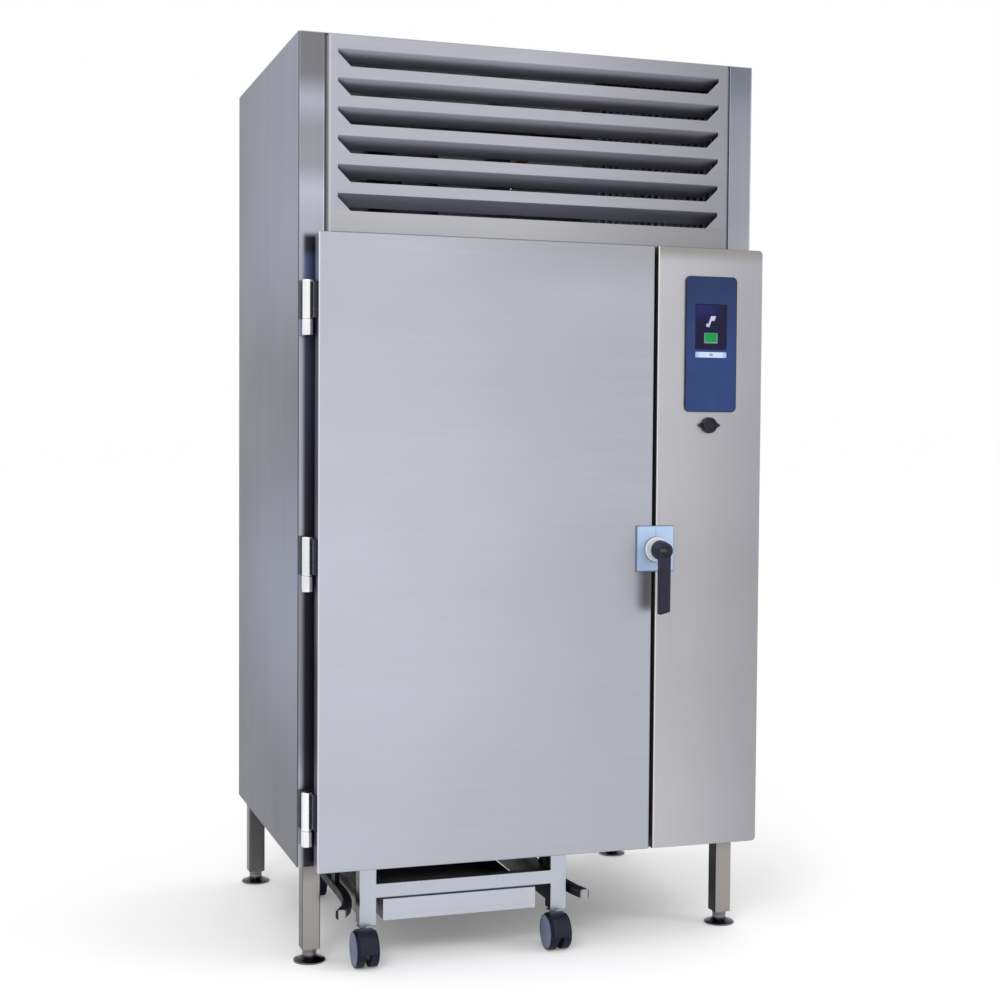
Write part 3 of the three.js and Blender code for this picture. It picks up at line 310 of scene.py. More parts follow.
def side_paint(recipe, streaked, x, y, z):
    # Painted reflections: bands of tone up the side, and a darker painted reflection towards the rear.
    side = recipe.blend(z.steps(*side_reflection_bands), streaked(tone(73, 75, 89)), streaked(tone(126, 131, 158)))
    side = recipe.blend(y.rise(-0.45, 0.90) * 0.85, side, streaked(tone(62, 66, 86)))
    # A painted highlight along the rear bend of the side.
    side = recipe.blend(y.rise(0.548, 0.554), side, tone(196, 198, 204))

    # The corner posts' faces carry painted reflections in bands, darker at their heads.
    dark_left, pale_left = streaked(tone(108, 106, 109)), streaked(tone(184, 185, 198))
    dark_right, pale_right = streaked(tone(108, 113, 124)), streaked(tone(158, 157, 167))
    left_face = recipe.blend(z.steps(*left_post_reflection_bands), dark_left, pale_left)
    right_face = recipe.blend(z.steps(*right_post_reflection_bands), dark_right, pale_right)
    on_right = x.rise(-0.5, 0.5)
    face = recipe.blend(on_right, left_face, right_face)
    base = recipe.blend(y.rise(front_plane + 0.0005, front_plane + 0.002), face, side)

    # A painted shade line down the outer corner of each post.
    corner_shade = 1 - x.rise(panel_left + 0.0028, panel_left + 0.0040)
    corner_shade = corner_shade * (1 - y.rise(front_plane + 0.002, front_plane + 0.004))
    base = recipe.blend(corner_shade * 0.75, base, streaked(tone(84, 82, 92)))

    # Painted shade in the gap behind the door, with a bluer painted reflection in it near the top hinge.
    beside_door = (1 - on_right) * (1 - y.rise(front_plane + 0.001, front_plane + 0.003))
    beside_door = beside_door * (1 - z.rise(door_high.z - 0.01, door_high.z + 0.01))
    shade = recipe.blend(z.steps(*gap_shade_bands), tone(30, 26, 38), tone(80, 94, 134))
    door_gap_shade = x.rise(panel_left + 0.0075, panel_left + 0.022) * beside_door
    base = recipe.blend(door_gap_shade * 0.95, base, shade)
    # Painted shade on the post beside each door leaf.
    for low, high in leaf_heights:
        base = recipe.blend(z.within(low, high, 0.001) * beside_door * 0.8, base, tone(66, 72, 78))
    return base


print("post fronts at y", front_plane, "and hinge leaves at z", leaf_heights)

# %% [markdown]
# The door's face carries painted reflections: it fades from left to right, is paler at the left of its
# middle and darker at its top right corner, and shows a painted reflection of the lever beside it. Its two
# upright edges carry the thin lines that a folded sheet shows there: a painted highlight at the left and a
# painted shade line at the right.

# %% Tones of the door
door_edge_reflection_bands = ((0.52, 0.95), (0.62, 0.4), (0.80, 0.4), (0.90, 0.8), (1.10, 0.8), (1.30, 0.4),
                   (1.70, 0.4), (1.95, 1.0))


def door_paint(recipe, streaked, x, y, z):
    # Painted reflections on the door's face: a fade across it, a paler area and a darker top right corner.
    face = recipe.blend(x.rise(-0.62, 0.42), streaked(tone(184, 186, 196)), streaked(tone(172, 174, 184)))
    paler = z.within(0.75, 1.55, 0.35) * (1 - x.rise(-0.35, 0.30))
    face = recipe.blend(paler * 0.3, face, streaked(tone(206, 208, 219)))
    top_right_reflection = z.rise(1.80, 1.965) * x.rise(-0.4, 0.33)
    face = recipe.blend(top_right_reflection * 0.7, face, streaked(tone(152, 151, 156)))
    # A painted reflection of the lever, beside it on the door.
    lever_reflection = x.rise(0.268, 0.322) * z.within(0.950, 1.070, 0.016)
    face = recipe.blend(lever_reflection * 0.75, face, streaked(tone(104, 100, 108)))
    # A painted highlight down the left edge, and a painted shade line down the right one.
    left_highlight = 1 - x.rise(door_low.x + 0.002, door_low.x + 0.005)
    face = recipe.blend(left_highlight, face, tone(214, 215, 222))
    right_shade_line = x.rise(door_high.x - 0.0035, door_high.x - 0.0022)
    face = recipe.blend(right_shade_line, face, tone(78, 84, 96))

    # The door's left side face carries painted reflections in bands.
    edge = recipe.blend(z.steps(*door_edge_reflection_bands), streaked(tone(78, 78, 86)), streaked(tone(146, 142, 164)))
    on_edge = 1 - x.rise(door_low.x + 0.0004, door_low.x + 0.0014)
    inwards = y.rise(door_low.y + 0.0005, door_low.y + 0.003)
    return recipe.blend(on_edge * inwards, face, edge)


print("door face between", door_low, "and", door_high)

# %% [markdown]
# The louvre panel and the control column carry painted reflections that fade from left to right too. The
# slots between the blades darken inwards with painted shade, the strip above the door is a little warmer,
# and a groove with painted shade runs down each end of the panel, with a painted highlight on a lip at the
# left one. On the column, the left rim has a painted highlight with a painted shade line, and the head is
# browner with a painted reflection.

# %% Tones of the louvres and the column
louvre_low, louvre_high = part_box("louvre_panel")
column_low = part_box("control_column")[0]
strip_height = 0.100


def louvre_paint(recipe, streaked, x, y, z):
    # Painted reflections fade across the panel.
    across = recipe.blend(x.rise(-0.10, 0.75), streaked(tone(175, 176, 186)), streaked(tone(134, 135, 141)))
    warm = recipe.blend(x.rise(-0.20, 0.65), streaked(tone(181, 181, 181)), streaked(tone(134, 133, 135)))
    strip = 1 - z.rise(louvre_low.z + strip_height - 0.002, louvre_low.z + strip_height + 0.002)
    across = recipe.blend(strip * 0.6, across, warm)
    # Painted shade deepens into the slots between the blades.
    inwards = y.steps((front_plane + 0.001, 0.0), (front_plane + 0.004, 0.50), (louvre_high.y, 0.90))
    shade = recipe.blend(x.rise(0.0, 0.6), streaked(tone(138, 138, 156)), streaked(tone(108, 107, 122)))
    blades = recipe.blend(inwards, across, shade)
    above_foot = z.rise(door_high.z + 0.010, door_high.z + 0.013)
    blades = recipe.blend(above_foot, tone(126, 127, 128), blades)

    soft = 0.0008
    # Painted shade in the groove down each end, and a painted highlight on the lip at the left one.
    groove = 1 - x.within(louvre_low.x + 0.0105, louvre_high.x - 0.004, soft)
    depth = x.rise(louvre_low.x + 0.0050, louvre_low.x + 0.0070)
    base = recipe.blend(groove, blades, recipe.blend(depth, tone(82, 82, 84), tone(146, 148, 148)))
    lip = x.within(louvre_low.x + 0.0118, louvre_low.x + 0.0150, soft)
    return recipe.blend(lip * (1 - inwards), base, tone(200, 201, 207))


def column_paint(recipe, streaked, x, y, z):
    # Painted reflections: a fade across the face, a darker band lower down and a browner head.
    face = recipe.blend(x.rise(0.30, 0.72), streaked(tone(184, 184, 189)), streaked(tone(158, 157, 163)))
    face = recipe.blend(z.within(0.55, 1.25, 0.25) * 0.2, face, streaked(tone(146, 144, 148)))
    face = recipe.blend(z.rise(1.920, 1.964) * 0.85, face, streaked(tone(138, 134, 131)))
    # A painted highlight on the left rim, with a painted shade line at its very edge.
    rim_highlight = 1 - x.rise(column_low.x + 0.003, column_low.x + 0.005)
    face = recipe.blend(rim_highlight, face, tone(222, 221, 218))
    rim_shade_line = 1 - x.rise(column_low.x + 0.0008, column_low.x + 0.0018)
    return recipe.blend(rim_shade_line, face, tone(142, 134, 132))


print("louvres between", louvre_low, "and", louvre_high, "; column from x", column_low.x)

# %% [markdown]
# Below the body, light reaches less and less, and this is painted into the colours. The legs darken towards
# their tops with painted shade, and each front leg has a painted shade line down its left corner. The cart's
# front posts and bars are pale, and what stands behind them fades into painted shade under the cabinet.
# With these tones, the eight steels of the outside can be made.

# %% Tones of the legs and the cart, and the steels
cart_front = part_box("cart_frame")[0].y
leg_half = 0.025
front_pads = [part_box("leg_" + corner) for corner in CORNERS[:2]]
leg_lefts = [(low.x + high.x) / 2 - leg_half for low, high in front_pads]


def leg_paint(recipe, streaked, x, y, z):
    on_right = x.rise(-0.2, 0.5)
    front = recipe.blend(on_right, streaked(tone(161, 157, 154)), streaked(tone(156, 152, 149)))
    # Painted shade under the cabinet darkens the legs' tops.
    front = recipe.blend(z.rise(0.215, 0.262) * 0.45, front, streaked(tone(92, 89, 88)))
    # A painted shade line down each front leg's left corner.
    corner_shade_line = recipe.blend(on_right, streaked(tone(104, 102, 104)), streaked(tone(48, 45, 52)))
    for left in leg_lefts:
        front = recipe.blend(x.within(left - 0.001, left + 0.0016, 0.0005), front, corner_shade_line)
    # The rear legs get painted shade.
    return recipe.blend(y.rise(0.0, 0.5) * 0.85, front, streaked(tone(98, 95, 100)))


def cart_paint(recipe, streaked, x, y, z):
    # Painted shade behind the cart's front posts: near black just behind them and on the right, greyer further
    # back on the left.
    shade_depths = y.steps((cart_front + 0.040, 0.30), (cart_front + 0.052, 0.0), (cart_front + 0.085, 0.0),
                     (cart_front + 0.10, 0.62))
    on_left = 1 - x.rise(-0.20, -0.10)
    shaded = recipe.blend(shade_depths * on_left, streaked(tone(22, 19, 27)), streaked(tone(150, 144, 142)))
    # Everything behind the cart's front face and below the cabinet takes this painted shade.
    behind = y.rise(cart_front + 0.001, cart_front + 0.004) * (1 - z.rise(0.27, 0.34))
    return recipe.blend(behind * 0.95, streaked(tone(190, 194, 205)), shaded)


def tray_paint(recipe, streaked, x, y, z):
    # Painted shade inside the tray, behind its front.
    behind = y.rise(cart_front + 0.001, cart_front + 0.004)
    return recipe.blend(behind * 0.9, streaked(tone(196, 199, 209)), streaked(tone(40, 39, 48)))


door_steel = brushed_steel("door_steel", door_paint, "x", streak=0.8)
louvre_steel = brushed_steel("louvre_steel", louvre_paint, "x", streak=0.7)
column_steel = brushed_steel("column_steel", column_paint, "z", streak=0.45, cloud=0.4)
side_steel = brushed_steel("side_steel", side_paint, "z", streak=0.6)
roof_steel = brushed_steel("roof_steel", tone(170, 171, 176), "x", rough=0.4)
leg_steel = brushed_steel("leg_steel", leg_paint, "z", rough=0.3)
cart_steel = brushed_steel("cart_steel", cart_paint, "z", rough=0.3, streak=0.7)
tray_steel = brushed_steel("tray_steel", tray_paint, "x", rough=0.3, streak=0.7)
print("steels:", [material.name for material in bpy.data.materials if "steel" in material.name])

# %% [markdown]
# The other finishes are simpler. Polished metal is nearly a mirror with faint wipe marks. Moulded plastic
# and rubber have a fine grain and slightly worn, lighter spots. Painted metal is dusty. Each gets a
# variation of its own, because an even colour looks like a drawing and not like a thing that has been
# handled.

# %% Polished metal, plastics and paint
def evenly(scale):
    return (scale, scale, scale)


def polished(name, colour, rough=0.14, marks=None):
    """marks is a function that adds colours to the base by place, and says how metallic each place is."""
    recipe = recipe_for(name)
    place = recipe.place()
    wipes = recipe.noise(place, (30.0, 30.0, 9.0), detail=3.0)
    fine = recipe.noise(place, (900.0, 900.0, 60.0), detail=1.0)
    base, metal = recipe.blend(wipes, scaled_tone(colour, 0.93), scaled_tone(colour, 1.06)), 1.0
    if marks:
        base, metal = marks(recipe, base, *recipe.apart(place))
    roughness = rough + 0.12 * (wipes - 0.4) + 0.04 * fine + 0.4 * (1 - metal)
    recipe.finish(Base_Color=base, Roughness=roughness, Metallic=metal, Specular_IOR_Level=0.15,
                  Normal=recipe.bump(fine, 0.00002))
    return recipe.material


def moulded(name, colour, rough=0.42, grain=1400.0, depth=0.00008, marks=None):
    """marks is a function that adds colours to the base by place."""
    recipe = recipe_for(name)
    place = recipe.place()
    pores = recipe.noise(place, evenly(grain))
    wear = recipe.noise(place, evenly(22.0), detail=3.0)
    worn = wear.rise(0.45, 0.75)
    base = recipe.blend(worn * 0.3 + pores * 0.15, colour, scaled_tone(colour, 1.4))
    if marks:
        base = marks(recipe, base, *recipe.apart(place))
    roughness = rough + 0.2 * (wear - 0.5) + 0.08 * (pores - 0.5)
    recipe.finish(Base_Color=base, Roughness=roughness, Specular_IOR_Level=0.25,
                  Normal=recipe.bump(pores, depth))
    return recipe.material


def painted(name, colour):
    recipe = recipe_for(name)
    place = recipe.place()
    skin = recipe.noise(place, evenly(260.0))
    dust = recipe.noise(place, evenly(7.0), detail=4.0)
    base = recipe.blend(dust.rise(0.45, 0.8) * 0.5, colour, scaled_tone(colour, 2.2))
    roughness = 0.5 + 0.25 * (dust - 0.5)
    recipe.finish(Base_Color=base, Roughness=roughness, Metallic=0.3, Normal=recipe.bump(skin, 0.0001))
    return recipe.material


cap_plastic = moulded("cap_plastic", tone(22, 22, 32))
hood_plastic = moulded("hood_plastic", tone(24, 26, 44), rough=0.35)
fan_plastic = moulded("fan_plastic", tone(28, 28, 32))
disc_plastic = moulded("disc_plastic", tone(104, 115, 138), rough=0.35)
tyre_rubber = moulded("tyre_rubber", tone(16, 16, 36), rough=0.5, grain=500.0)
seal_rubber = moulded("seal_rubber", tone(26, 24, 32), rough=0.75, grain=600.0)
stem_steel = polished("stem_steel", tone(196, 192, 206), rough=0.35)
dark_paint = painted("dark_paint", tone(48, 48, 56))
print("materials so far:", len(bpy.data.materials))

# %% [markdown]
# Some small parts need marks of their own. A hinge is bright round its pin, with painted shade in the gap
# behind it. The latch and strike plates have a dark rim and a seam at the door's edge, and the rosette is
# paler. The lever has an olive inlay, the rails end in bare cuts, and the feet's flanges get painted shade.

# %% Marks on small parts
pin = Vector(joints["door_swing"]["pos_m"])
hub = Vector(joints["handle_turn"]["pos_m"])
hub_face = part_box("handle_lever")[0].y
plate_low, plate_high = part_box("latch_plate")
strike_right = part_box("strike_plate")[1].x
rail_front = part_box("right_guide_rail")[0].y


def squared_distance(first, second):
    return first * first + second * second


def hinge_marks(recipe, base, x, y, z):
    """Bright round the pin, blue beside it on the cabinet, and painted shade in the gap behind it."""
    # A pale blue-grey on the cabinet side of the pin, and painted shade on the door side.
    beside = recipe.blend(x.rise(pin.x - 0.006, pin.x - 0.003), tone(128, 136, 160), tone(36, 38, 52))
    shaded = squared_distance(x - pin.x, y - pin.y).rise(0.0153 ** 2, 0.0162 ** 2)
    return recipe.blend(shaded, base, beside), 1 - shaded * 0.9


def plate_marks(recipe, base, x, y, z):
    """A dark line round the rim, a seam at the door's edge, and a paler rosette with a line round it."""
    inside = x.within(plate_low.x + 0.003, strike_right - 0.0015, 0.001)
    inside = inside * z.within(plate_low.z + 0.003, plate_high.z - 0.002, 0.001)
    seam = x.within(column_low.x - 0.0035, column_low.x - 0.0005, 0.001)
    face = recipe.blend(seam * 0.35, base, tone(116, 148, 140))
    face = recipe.blend(inside, tone(116, 126, 152), face)
    line = squared_distance(x - hub.x, z - hub.z).rise(0.0335 ** 2, 0.0350 ** 2)
    pale = recipe.blend(line, tone(226, 231, 236), tone(140, 144, 152))
    on_rosette = 1 - y.rise(plate_high.y - 0.0050, plate_high.y - 0.0044)
    return recipe.blend(on_rosette, face, pale), 0.6 - on_rosette * 0.35


def lever_marks(recipe, base, x, y, z):
    """A small olive inlay at the middle of the hub's face."""
    inlay = x.within(hub.x - 0.016, hub.x + 0.004, 0.001) * z.within(hub.z - 0.0035, hub.z + 0.0055, 0.002)
    on_face = 1 - y.rise(hub_face + 0.001, hub_face + 0.003)
    return recipe.blend(inlay * on_face, base, tone(74, 77, 54))


def rail_marks(recipe, base, x, y, z):
    """A bare cut end."""
    return recipe.blend(y.rise(rail_front + 0.006, rail_front + 0.008), tone(158, 154, 160), base)


def foot_marks(recipe, base, x, y, z):
    """Painted shade on the flange, down to its lit rim."""
    on_flange = z.rise(0.0035, 0.0055) * (1 - z.rise(0.016, 0.020))
    return recipe.blend(on_flange * 0.95, base, tone(40, 38, 44)), 1.0


hinge_steel = polished("hinge_steel", tone(240, 241, 240), marks=hinge_marks)
plate_steel = polished("plate_steel", tone(178, 200, 230), rough=0.3, marks=plate_marks)
foot_steel = polished("foot_steel", tone(134, 129, 138), rough=0.2, marks=foot_marks)
lever_plastic = moulded("lever_plastic", tone(32, 30, 47), marks=lever_marks)
rail_paint = moulded("rail_paint", tone(22, 19, 25), rough=0.5, grain=260.0, marks=rail_marks)
print("hinge pin at", pin, "and lever hub at", hub)

# %% [markdown]
# Inside, the insulated walls are lined with plain rolled sheet that is duller than the door, with painted
# shade on the door liner's side and on the floor's underside. The fins of the coils are thin aluminium with
# painted shade in the dark gaps between them, and their pipes are copper. On a coil, a stripe along its
# length stands for the rows of fins that are finer than the solid's own.

# %% Lining and fins
lining_tone = tone(186, 188, 192)
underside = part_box("insulated_floor")[0].z
fin_pitch = 0.0042


def liner_paint(recipe, streaked, x, y, z):
    # Painted shade on the liner's side, in the gap behind the door.
    side_shade = 1 - x.rise(door_low.x + 0.004, door_low.x + 0.005)
    return recipe.blend(side_shade, streaked(lining_tone), streaked(tone(30, 28, 36)))


def floor_paint(recipe, streaked, x, y, z):
    # Painted shade on the floor's underside.
    under = 1 - z.rise(underside + 0.001, underside + 0.004)
    return recipe.blend(under, streaked(lining_tone), streaked(tone(34, 33, 38)))


def finned(name, axis):
    recipe = recipe_for(name)
    place = recipe.place()
    along = recipe.apart(place)["xyz".index(axis)]
    wave = recipe.add("Math", {"operation": "SINE"}, {0: along * (2 * math.pi / fin_pitch)})
    dirt = recipe.noise(place, evenly(9.0), detail=4.0)
    # The dark stripes are painted shade in the gaps between the fins.
    share = (wave * 0.5 + 0.5) * 0.7 + dirt * 0.3
    base = recipe.blend(share, tone(70, 72, 76), tone(178, 180, 184))
    recipe.finish(Base_Color=base, Roughness=0.45 + 0.2 * (dirt - 0.5), Metallic=0.8,
                  Normal=recipe.bump(wave, 0.0004))
    return recipe.material


lining_steel = brushed_steel("lining_steel", lining_tone, "z", rough=0.45, cloud=0.35)
liner_steel = brushed_steel("liner_steel", liner_paint, "z", rough=0.45, cloud=0.35)
floor_steel = brushed_steel("floor_steel", floor_paint, "y", rough=0.45, cloud=0.35)
front_fins = finned("front_fins", "x")
side_fins = finned("side_fins", "y")
copper = polished("copper", tone(184, 116, 82), rough=0.28)
print("linings, fins and copper ready; underside at z", underside)

# %% [markdown]
# The control panel is a blue film over a plastic frame, with a lit display. The display's picture is drawn
# in its material with soft masks on X and Z: a navy ground that is bluer at the top left, a pale sign of a
# probe, and a green key with a light rim. Such a picture stays sharp at any size and needs no image file.

# %% Film, display and key
bezel_low, bezel_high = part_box("control_bezel")
screen_low, screen_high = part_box("touch_screen")
screen_mid = (screen_low.x + screen_high.x) / 2
screen_glow = (1.745, 1.815)
green_key, green_key_rim = (1.7035, 1.7285), (1.7005, 1.7295)
sign_low, sign_mid, sign_high = 1.746, 1.762, 1.777
power_mark = (1.6645, 1.6715)
crisp = 0.0007


def framed(x, z, low, high, margin, soft):
    """1 inside a box's front, less a margin all round."""
    inside = x.within(low.x + margin, high.x - margin, soft)
    return inside * z.within(low.z + margin, high.z - margin, soft)


def film_marks(recipe, base, x, y, z):
    """Darker towards the top, with a nearly black rim."""
    base = recipe.blend(z.rise(bezel_low.z + 0.15, bezel_high.z) * 0.7, base, tone(24, 38, 76))
    inside = framed(x, z, bezel_low, bezel_high, 0.002, crisp)
    return recipe.blend(inside, tone(20, 22, 34), base)


def probe_sign(recipe, x, z):
    """A leaning stem with a head at its right and a foot at its left."""
    fine, soft = 0.0006, 0.0008
    lean = x - 0.35 * (z - sign_mid)
    stem = lean.within(screen_mid - 0.0055, screen_mid + 0.0005, fine) * z.within(sign_low, sign_high, fine)
    head = lean.within(screen_mid - 0.003, screen_mid + 0.010, soft) * z.within(1.764, sign_high, soft)
    foot = lean.within(screen_mid - 0.011, screen_mid + 0.0005, soft) * z.within(1.748, 1.756, soft)
    return recipe.larger(recipe.larger(stem, head), foot)


def display_picture():
    recipe = recipe_for("display")
    place = recipe.place()
    x, _, z = recipe.apart(place)
    glow = z.rise(*screen_glow) * (1 - x.rise(screen_mid - 0.01, screen_mid + 0.045))
    lit = recipe.blend(glow * 0.8, tone(12, 8, 42), tone(24, 30, 96))
    inside = framed(x, z, screen_low, screen_high, 0.003, 0.001)
    lit = recipe.blend(inside, tone(16, 18, 42), lit)
    key_rim = x.within(screen_mid - 0.0205, screen_mid + 0.0205, crisp) * z.within(*green_key_rim, crisp)
    lit = recipe.blend(key_rim, lit, tone(118, 128, 150))
    key = x.within(screen_mid - 0.0185, screen_mid + 0.0185, crisp) * z.within(*green_key, crisp)
    lit = recipe.blend(key, lit, tone(4, 134, 60))
    lit = recipe.blend(probe_sign(recipe, x, z) * 0.9, lit, tone(184, 184, 212))
    smear = recipe.noise(place, evenly(60.0), detail=3.0)
    recipe.finish(Base_Color=lit, Roughness=0.3 + 0.1 * smear, Emission_Color=lit, Emission_Strength=0.12,
                  Specular_IOR_Level=0.2)
    return recipe.material


def key_plastic():
    """White plastic with paler ends and a small grey mark at its middle."""
    recipe = recipe_for("key_plastic")
    place = recipe.place()
    x, _, z = recipe.apart(place)
    inside = x.within(screen_mid - 0.038, screen_mid + 0.038, 0.004)
    pores = recipe.noise(place, evenly(700.0))
    pale = recipe.blend(inside * (0.9 + 0.1 * pores), tone(150, 172, 212), tone(184, 200, 226))
    mark = x.within(screen_mid - 0.005, screen_mid + 0.005, 0.001) * z.within(*power_mark, 0.001)
    lit = recipe.blend(mark * 0.8, pale, tone(110, 112, 130))
    recipe.finish(Base_Color=lit, Roughness=0.3 + 0.1 * pores, Emission_Color=lit, Emission_Strength=0.06)
    return recipe.material


film_blue = moulded("film_blue", tone(34, 56, 104), rough=0.3, grain=900.0, depth=0.00003, marks=film_marks)
display = display_picture()
key_white = key_plastic()
print("display between", screen_low, "and", screen_high)

# %% [markdown]
# Four helpers shape a bmesh. One makes a box between two corners, one turns a profile round an axis as on a
# lathe, one rounds edges, and one merges doubled corners and points the faces outwards. A last helper makes
# the object, smooths its shading up to an angle, gives it its finish and ties it to the body that it moves
# with.

# %% Modelling helpers
UP, RIGHT, LEFT, FORWARD = (0, 0, 1), (1, 0, 0), (-1, 0, 0), (0, -1, 0)
FULL_TURN = 2 * math.pi


def box_between(bm, low, high):
    low, high = Vector(low), Vector(high)
    made = bmesh.ops.create_cube(bm, size=1.0)["verts"]
    bmesh.ops.scale(bm, vec=high - low, verts=made)
    bmesh.ops.translate(bm, vec=(low + high) / 2, verts=made)
    return made


def turned(bm, profile, centre, axis, out, steps=48, angle=FULL_TURN):
    """Turns (along the axis, radius) pairs round the axis. out points to where the first copy stands."""
    centre, axis, out = Vector(centre), Vector(axis), Vector(out)
    verts = [bm.verts.new(centre + along * axis + radius * out) for along, radius in profile]
    whole = angle == FULL_TURN
    pairs = list(zip(verts, verts[1:])) + ([] if whole else [(verts[-1], verts[0])])
    edges = [bm.edges.new(pair) for pair in pairs]
    bmesh.ops.spin(bm, geom=verts + edges, cent=centre, axis=axis, angle=angle, steps=steps, use_merge=whole)
    if not whole:
        bm.faces.new(verts)


def round_off(bm, edges, width, segments):
    bmesh.ops.bevel(bm, geom=edges, offset=width, segments=segments, profile=0.5, affect="EDGES",
                    clamp_overlap=True, material=-1)


def rounded(bm, width, segments=3, sharper=30.0, pick=None):
    """Rounds each outward edge that turns by more than an angle."""
    edges = [
        edge
        for edge in bm.edges
        if len(edge.link_faces) == 2
        and edge.is_convex
        and edge.calc_face_angle() > math.radians(sharper)
        and (pick is None or pick(edge))
    ]
    round_off(bm, edges, width, segments)


def settle(bm):
    """Merges doubled corners and points the faces outwards."""
    bmesh.ops.remove_doubles(bm, verts=bm.verts, dist=1e-6)
    loose = [edge for edge in bm.edges if not edge.link_faces]
    bmesh.ops.delete(bm, geom=loose, context="EDGES")
    bmesh.ops.recalc_face_normals(bm, faces=bm.faces)


def make_piece(bm, name, body, material, replaces=(), smooth=35.0):
    mesh = bpy.data.meshes.new(name)
    bm.to_mesh(mesh)
    bm.free()
    if "custom_normal" in mesh.attributes:
        mesh.attributes.remove(mesh.attributes["custom_normal"])
    mesh.shade_smooth()
    mesh.set_sharp_from_angle(angle=math.radians(smooth))
    mesh.materials.clear()
    mesh.materials.append(material)
    piece = bpy.data.objects.new(name, mesh)
    bpy.context.scene.collection.objects.link(piece)
    even = piece.modifiers.new("even_shading", "WEIGHTED_NORMAL")
    even.keep_sharp = True
    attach(piece, body)
    if replaces:
        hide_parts(*replaces)
    print(name, "on", body, "with", len(mesh.polygons), "faces")


# %% [markdown]
# Most sheet-metal parts already have the right shape in the frame, but as loose flat triangles. A copy of
# such a part is merged, its flat areas are made whole again, and its bends are shaded smoothly. Where a
# real sheet has a soft pressed edge, a narrow bevel catches the light along it.

# %% Refined copies
def merged_copy(node):
    bm = bmesh.new()
    bm.from_mesh(nodes[node].data)
    bmesh.ops.remove_doubles(bm, verts=bm.verts, dist=1e-5)
    bmesh.ops.dissolve_limit(bm, angle_limit=math.radians(0.3), verts=bm.verts, edges=bm.edges,
                             use_dissolve_boundaries=False)
    return bm


def refine(node, material, width=0.0, pick=None, smooth=35.0):
    bm = merged_copy(node)
    if width:
        rounded(bm, width, pick=pick)
    make_piece(bm, node + "_dressed", body_of_node[node], material, [node], smooth)


def at_depth(vert, depth):
    return abs(vert.co.y - depth) < 1e-4


def on_column_rim(edge):
    """Edges of the column's face, apart from the windows behind the bezel."""
    for vert in edge.verts:
        across, _, up = vert.co
        behind_bezel = bezel_low.x < across < bezel_high.x and bezel_low.z < up < bezel_high.z
        if behind_bezel or not at_depth(vert, column_low.y):
            return False
    return True


refine("left_side_panel", side_steel)
refine("right_side_panel", side_steel)
refine("roof_panel", roof_steel)
refine("louvre_panel", louvre_steel, smooth=25.0)
refine("door_panel", door_steel)
refine("control_column", column_steel, width=0.0025, pick=on_column_rim)
for corner in CORNERS:
    refine("leg_" + corner, leg_steel)

# %% [markdown]
# The levelling feet are turned parts: a wide flange that spreads the load, a small cove above it, and a
# stem that screws into the leg. A profile is drawn once and spun round the foot's axis. Spinning gives an
# even, closed surface, which stacked cylinders wouldn't.

# %% Levelling feet
foot_stem, foot_collar = 0.0195, 0.0205
for corner in CORNERS:
    low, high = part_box("foot_" + corner)
    middle = (low + high) / 2
    height = high.z - low.z
    rim = (high.x - low.x) / 2
    bm = bmesh.new()
    profile = [(0, 0), (0, rim - 0.001), (0.001, rim), (0.0042, rim), (0.0058, rim - 0.0016),
               (0.0082, 0.034), (0.0105, 0.027), (0.0135, 0.0215), (0.018, foot_stem),
               (height - 0.0075, foot_stem), (height - 0.0065, foot_collar), (height, foot_collar),
               (height, 0)]
    turned(bm, profile, (middle.x, middle.y, low.z), UP, RIGHT, steps=56)
    settle(bm)
    make_piece(bm, "foot_" + corner + "_turned", "cabinet", foot_steel, ["foot_" + corner])

# %% [markdown]
# Each hinge has two leaves that share one pin. The upper barrel belongs to the door and lifts off; the
# lower, slightly wider one is fixed to the cabinet. Barrels are spun, and the arms and plates are boxes
# with rounded edges that run into them. The hinge's axis is the door joint's own axis, so the leaves turn
# truly about it.

# %% Hinges
upper_barrel, lower_barrel, pin_radius = 0.0142, 0.0147, 0.006
barrel_clearance = 0.0004
arm_half, plate_thickness = 0.007, 0.005


def hinge_leaf(profile, bottom, boxes, name, body, node):
    bm = bmesh.new()
    turned(bm, profile, (pin.x, pin.y, bottom), UP, LEFT)
    settle(bm)
    for low, high in boxes:
        box_between(bm, low, high)
    rounded(bm, 0.001, segments=2, sharper=60.0)
    make_piece(bm, name, body, hinge_steel, [node])


for level in LEVELS:
    node = "hinge_door_" + level
    low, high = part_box(node)
    split = low.z
    radius, length = upper_barrel, high.z - low.z
    profile = [(0, 0), (0, radius - 0.001), (0.001, radius), (length - 0.004, radius),
               (length - 0.0015, radius - 0.0012), (length, radius - 0.004), (length, 0)]
    arm = ((pin.x + 0.004, pin.y - arm_half, low.z + 0.004),
           (high.x - 0.002, pin.y + arm_half, high.z - 0.008))
    plate = ((high.x - plate_thickness, low.y, low.z + 0.002), (high.x, high.y, high.z - 0.006))
    hinge_leaf(profile, low.z, (arm, plate), node + "_leaf", "door", node)

    node = "hinge_frame_" + level
    low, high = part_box(node)
    radius, length, pin_top = lower_barrel, split - barrel_clearance - low.z, high.z - low.z
    profile = [(0, 0), (0, radius - 0.003), (0.0012, radius - 0.001), (0.004, radius),
               (length - 0.001, radius), (length, radius - 0.001), (length, pin_radius),
               (pin_top, pin_radius), (pin_top, 0)]
    top = low.z + length - 0.002
    arm = ((pin.x - arm_half, pin.y + 0.004, low.z), (pin.x + arm_half, high.y - 0.002, top))
    plate = ((low.x, high.y - plate_thickness, low.z), (high.x, high.y, top))
    hinge_leaf(profile, low.z, (arm, plate), node + "_leaf", "cabinet", node)

